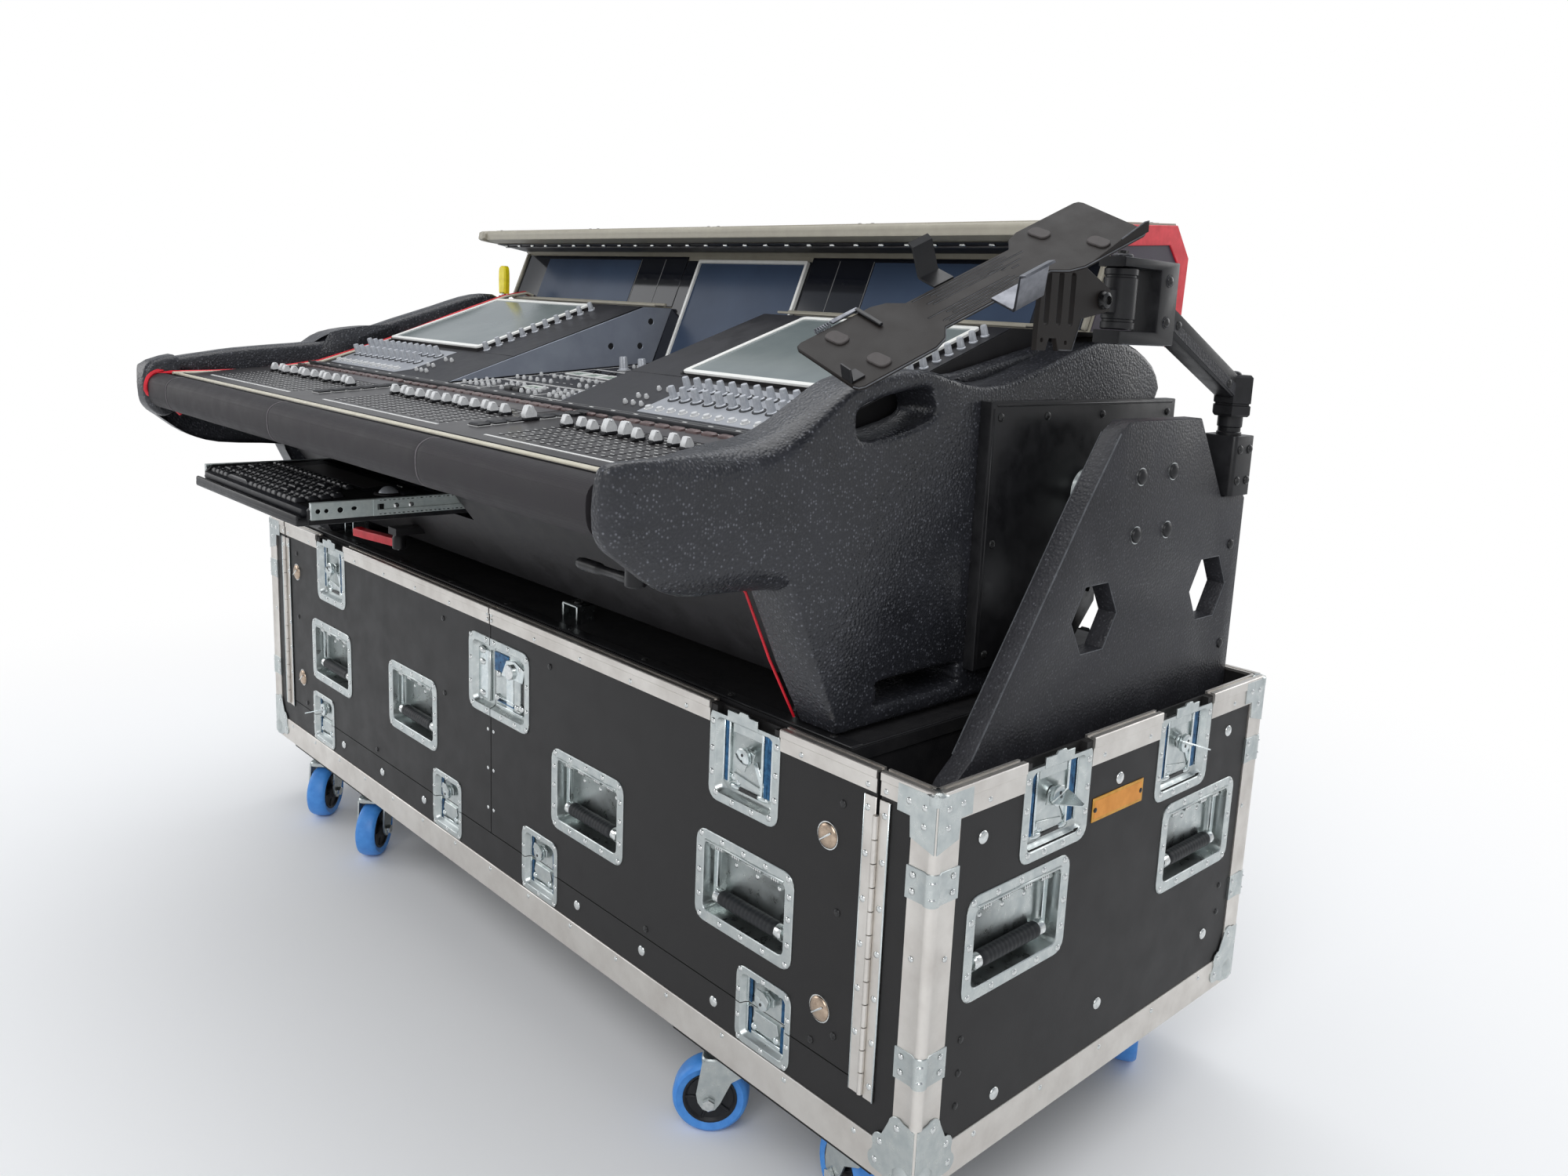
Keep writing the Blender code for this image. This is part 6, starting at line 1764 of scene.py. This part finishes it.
def addPost():
    bm = bmesh.new()
    x, y = post["x"], post["y"]
    put(bm, plate(roundedBox(0.052, 0.052, 0.006), 0.08, 0.003, (ringOf(0.0172, 24),), 2), at(x, y, 0.8497))
    for side in (-1, 1):
        for z in (0.87, 0.912):
            put(bm, coachBolt(0.006, 0.0034), at(x + 0.026, y + side * 0.013, z, roll=90), 1)
    finishPiece("post_foot", bm, "blackPaint darkScrew", "case", ("post_socket",))
    bm = bmesh.new()
    stem = ((0, 0.8605), (0.015, 0.8605), (post["radius"], 0.8625), (post["radius"], 0.933), (0.015, 0.9345),
        (0.015, 0.9395), (post["radius"], 0.941), (post["radius"], 0.96), (0, 0.96))
    put(bm, turned(stem, 28), at(x, y))
    collar = mm(24.5, 955, 27.5, 958, 27.5, 969, 25, 970, 25, 972, 27.5, 973, 27.5, 1007, 24.5, 1010)
    put(bm, stack(tuple((ringOf(r, 6), z) for r, z in collar)), at(x, y))
    put(bm, coachBolt(0.009, 0.005), at(x, y, 1.0098), 2)
    boom = mm(296, 968, 296, 1002, 70, 1104, 70, 1068)
    put(bm, plate(boom, 0.026, 0.004, (), 2), sideOn(x - 0.012))
    put(bm, plate(mm(270, 983, 270, 999, 92, 1079, 92, 1066), 0.0008, 0.0002), sideOn(x + 0.0138), 1)
    for spot in ((0.252, 0.999), (0.11, 1.069)):
        put(bm, coachBolt(0.0056, 0.0034), at(x + 0.014, *spot, roll=90), 2)
    kx, ky = post["knuckle"]
    yoke = ((0.085, 1.045), (0.085, 1.142), (ky - 0.02, 1.142), (ky - 0.02, 1.1308), (0.046, 1.1308),
        (0.046, 1.06), (ky - 0.02, 1.06), (ky - 0.02, 1.045))
    put(bm, plate(yoke, 0.036, 0.0024, (), 2), sideOn(kx - 0.018))
    put(bm, turned(mm(0, 0, 12, 0, 12, 2.4, 10.5, 4, 0, 4), 22), at(kx, ky, 1.1418), 1)
    put(bm, disc(0.006, 0.004, 6), at(kx, ky, 1.1455), 2)
    put(bm, block(0.03, 0.092, 0.0012, 0.0005), at(kx, 0.026, 1.0446), 3)
    for spot in ((0.064, 1.12), (0.064, 1.072)):
        put(bm, coachBolt(0.0058, 0.0034), at(kx + 0.018, *spot, roll=90), 2)
        put(bm, disc(0.0076, 0.0008, 22), at(kx + 0.0178, *spot, roll=90), 1)
    finishPiece("post_arm", bm, "blackPaint armPaint darkScrew clipMetal", "support_post",
        ("support_post",))
    bm = bmesh.new()
    barrel = mm(0, 1060.6, 17.5, 1060.6, 19.5, 1062.2, 19.5, 1069, 18, 1070, 18, 1072.2, 19.5, 1073.2, 19.5,
        1118.6, 18, 1119.6, 18, 1121.4, 19.5, 1122.4, 19.5, 1128.8, 17.5, 1130.2, 0, 1130.2)
    put(bm, turned(barrel, 28), at(kx, ky))
    ty, tz = post["tilt"]
    lug = ((ky, tz - 0.014), (ky, tz + 0.014), (ty, tz + 0.014), (ty - 0.011, tz + 0.01), (ty - 0.0145, tz),
        (ty - 0.011, tz - 0.01), (ty, tz - 0.014))
    put(bm, plate(lug, 0.017, 0.0018), sideOn(kx - 0.009))
    put(bm, disc(0.01, 0.008, 6, None, 0.001), at(kx - 0.009, ty, tz, roll=-90), 1)
    put(bm, turned(mm(0, 0, 5, 0, 5, 6.8, 10.4, 7, 10.4, 8.6, 8.8, 12.6, 5, 14.4, 4.8, 11, 0, 11), 22),
        at(kx + 0.008, ty, tz, roll=90), 1)
    finishPiece("knuckle_barrel", bm, "blackPaint darkScrew", "tilt_knuckle", ("tilt_knuckle",))


def addTray():
    frontRight, rearRight, frontLeft = (Vector(tray[k]) for k in ("frontRight", "rearRight", "frontLeft"))
    along = (rearRight - frontRight).normalized()
    outward = (frontRight - frontLeft).normalized().cross(along).normalized()
    across = along.cross(outward)
    flat = Matrix((across, along, outward)).transposed().to_4x4()
    flat.translation = frontRight
    length, width = (rearRight - frontRight).length, (frontRight - frontLeft).length
    bar, waist, corner = tray["bar"], tray["waist"], tray["corner"]
    edge = [(-corner, 0), (-corner * 0.3, corner * 0.3), (0, corner), (0, bar - corner * 2),
        (-waist * 0.3, bar), (-waist, bar + corner * 1.6), (-waist, length - bar - corner * 1.6),
        (-waist * 0.3, length - bar), (0, length - bar + corner * 2), (0, length - corner),
        (-corner * 0.3, length - corner * 0.3), (-corner, length)]
    outline = tuple(edge + [(-width - a, b) for a, b in reversed(edge)])
    bm = bmesh.new()
    put(bm, plate(outline, tray["thick"] * 0.45, 0.001), flat @ at(z=-tray["thick"] * 0.45))
    for a, b in tray["pads"]:
        put(bm, plate(roundedBox(0.025, 0.0165, 0.007, 5), 0.0024, 0.0008), flat @ at(a, b, -0.0002, spin=8),
            1)
    # slots: near-black strips of painted shade, each with a painted highlight along one rim
    for first, count, start, long in ((-0.0765, 5, 0.128, 0.118), (-0.043, 5, 0.12, 0.108),
            (-0.06, 3, 0.215, 0.01)):
        for n in range(count):  # long thin slots with bright rims
            a = first + n * 0.0045
            b = start + (n % 3) * 0.012 + long / 2
            addBlocks(bm, flat, (0.0013, long - (n % 2) * 0.016, 0.0003, 0, a, b, 0.0001, 2),
                (0.0005, long - (n % 2) * 0.016, 0.0004, 0, a + 0.0008, b, 0.0001, 3))
    # a painted highlight along one long edge of the tray
    rim = [flat @ Vector((a, b, -0.0012)) for a, b in edge]
    put(bm, wire(rim, 0.0007, 1), paint=3)
    # upturned rear corner, under-rails and the bent clips
    lift = mm(300, -1, 385.5, -1, 385.5, 11, 379, 12.5, 345, 7)
    put(bm, plate(lift, 0.0016, 0.0004), flat @ sideOn(-0.0018))
    # a painted highlight along the lifted corner's edge
    put(bm, wire([flat @ Vector((-0.001, b, c)) for b, c in lift[2:]], 0.0008, 1), paint=3)
    put(bm, block(0.022, 0.245, 0.0044, 0.001), flat @ at(-0.05, 0.195, -0.0058))
    bend = mm(-12, -1.5, 12, -1.5, 14.5, 1, 20, 30, 26.2, 33.5, 25.2, 35.2, 18.5, 32, 12.2, 2.2, 10.8, 0.6,
        -12, 0.6)
    for a, b, wide, turn, size, paint in ((-0.093, 0.174, 0.026, -1, 1.0, 4),
            (-0.008, 0.204, 0.038, 1, 1.3, 5)):
        clip = flat @ at(a, b + wide / 2, 0.0006) @ Matrix.Diagonal((turn * size, 1, size, 1)) @ standing()
        put(bm, plate(bend, wide, 0.0003), clip, paint)
    small = mm(-2, 0, 14, 0, 14, 1.8, 0.4, 1.8, -0.4, 15, -2, 15)
    put(bm, plate(small, 0.015, 0.0003), flat @ at(-0.026, 0.003, 0.0002) @ sideways, 4)
    # sprung hook on the front left corner
    coil = [flat @ Vector((-width - 0.0035 + 0.0042 * math.cos(t * 0.9), 0.03 + t * 0.00042,
        -0.002 + 0.0042 * math.sin(t * 0.9))) for t in range(40)]
    put(bm, wire(coil, 0.0009, 1), paint=5)
    addBlocks(bm, flat, (0.006, 0.034, 0.0026, 0.0008, -width - 0.0035, 0.065, 0.0016, 5),
        (0.04, 0.005, 0.003, 0.0008, -width + 0.016, 0.08, 0.002, 4))
    # slotted bracket down to the knuckle
    x = post["knuckle"][0] + 0.0085
    shape = mm(-52, 1080, -52, 1104, -104, 1126, -104, 1176, -178, 1134, -182, 1060, -182, 1035, -165, 1035,
        -160, 1048, -148, 1048, -143, 1035, -118, 1035, -104, 1070)
    holes = tuple(roundedBox(0.008, 0.056, 0.0035, 3, (y, 1.09)) for y in (-0.168, -0.146, -0.124))
    holes += (ringOf(0.0056, 14, post["tilt"]), ringOf(0.0022, 10, (-0.173, 1.046)),
        ringOf(0.0022, 10, (-0.13, 1.044)))
    put(bm, plate(shape, 0.006, 0.0006, holes), sideOn(x))
    # a painted highlight along part of the bracket's edge
    put(bm, wire([(x + 0.006, y, z) for y, z in mm(-104, 1070, -118, 1036, -142, 1036)], 0.0006, 1), paint=3)
    finishPiece("tray_plate", bm, "trayPaint softPad slot wornEdge blackPaint clipMetal", "tablet_tray",
        ("tablet_tray",))


# Deck: edge strips, aluminium stops and screws
def addDeck():
    bm = bmesh.new()
    put(bm, block(1.514, 0.019, 0.003, 0.0009), at(0, -0.3165, 0.5993))
    for x in (-0.645, 0.135, 0.645):
        channel = mm(-20, 0, -20, 26, -17.5, 27.5, 17.5, 27.5, 20, 26, 20, 0, 16.5, 0, 16.5, 24, -16.5, 24,
            -16.5, 0)
        put(bm, plate(channel, 0.03, 0.0008), standing(x, -0.262, 0.5982), 1)
        put(bm, coachBolt(0.0055, 0.003), at(x, -0.277, 0.6256), 2)
    for n in range(9):
        for y, z in mm(-316.5, 600.5, 315, 598):
            put(bm, coachBolt(0.0044, 0.0016), at(-0.72 + n * 0.18, y, z), 2)
    for side in (-1, 1):
        put(bm, block(0.003, 0.65, 0.002, 0.0006), at(side * 0.756, 0, 0.5985))
    finishPiece("deck_fittings", bm, "blackPaint brightZinc darkScrew", "case")


# Back of the console and hood: vented and blank covers with screws
back = dict(covers=5, pitch=0.252, wide=0.238, tall=0.205)


def addBack():
    bm = bmesh.new()
    lay = stamper(bm, facing((0, 0.2175, 0.781), (-1, 0, 0), Vector((0, 0.943, -0.332))))
    for n in range(back["covers"]):
        x = (n - (back["covers"] - 1) / 2) * back["pitch"]
        lay(plate(roundedBox(back["wide"], back["tall"], 0.006, 3), 0.0018, 0.0006), x)
        atCorners(lay, coachBolt(0.0036, 0.0018), x, 0, 0.11, 0.094, 0.0016, 1)
        if n % 2:
            # vent openings: near-black strips of painted shade
            for row in range(11):
                lay(block(0.17, 0.006, 0.0006), x, -0.065 + row * 0.013, 0.0019, 2)
        else:
            for row in range(3):
                for column in range(6):
                    spot = (x - 0.085 + column * 0.034, -0.055 + row * 0.052, 0.0016)
                    lay(ringDisc(0.012, 0.0085, 0.0026), *spot, 3)
                    lay(disc(0.0086, 0.0008), *spot, 2)
    finishPiece("back_covers", bm, "panelMatt darkScrew slot silverDark", "console")
    bm = bmesh.new()
    lay = stamper(bm, facing((0, 0.315, 1.108), (-1, 0, 0), (0, 1, -0.055)))
    for n in range(4):
        x = (n - 1.5) * 0.352
        lay(plate(roundedBox(0.338, 0.09, 0.006, 3), 0.0018, 0.0006), x, 0, -0.0002)
        atCorners(lay, coachBolt(0.0034, 0.0016), x, 0, 0.16, 0.037, 0.0014, 1)
        # vent openings: near-black strips of painted shade
        for row in range(22):
            lay(block(0.005, 0.05, 0.0006), x - 0.126 + row * 0.012, 0, 0.0017, 2)
    lay = stamper(bm, sloping((0.037, 1.1893), (0.282, 1.2073)))
    for n in range(4):  # top covers and their screws
        x = (n - 1.5) * 0.356
        lay(plate(roundedBox(0.35, 0.23, 0.008, 3), 0.0012, 0.0005), x, 0.125, -0.0002, 3)
        atCorners(lay, coachBolt(0.0032, 0.0012), x, 0.125, 0.165, 0.105, 0.0008, 1)
    finishPiece("hood_covers", bm, "panelMatt darkScrew slot stone", "console")


addDrawer()
addLevers()
addArms()
addPost()
addTray()
addDeck()
addBack()
print("drawer, arms and tray done")
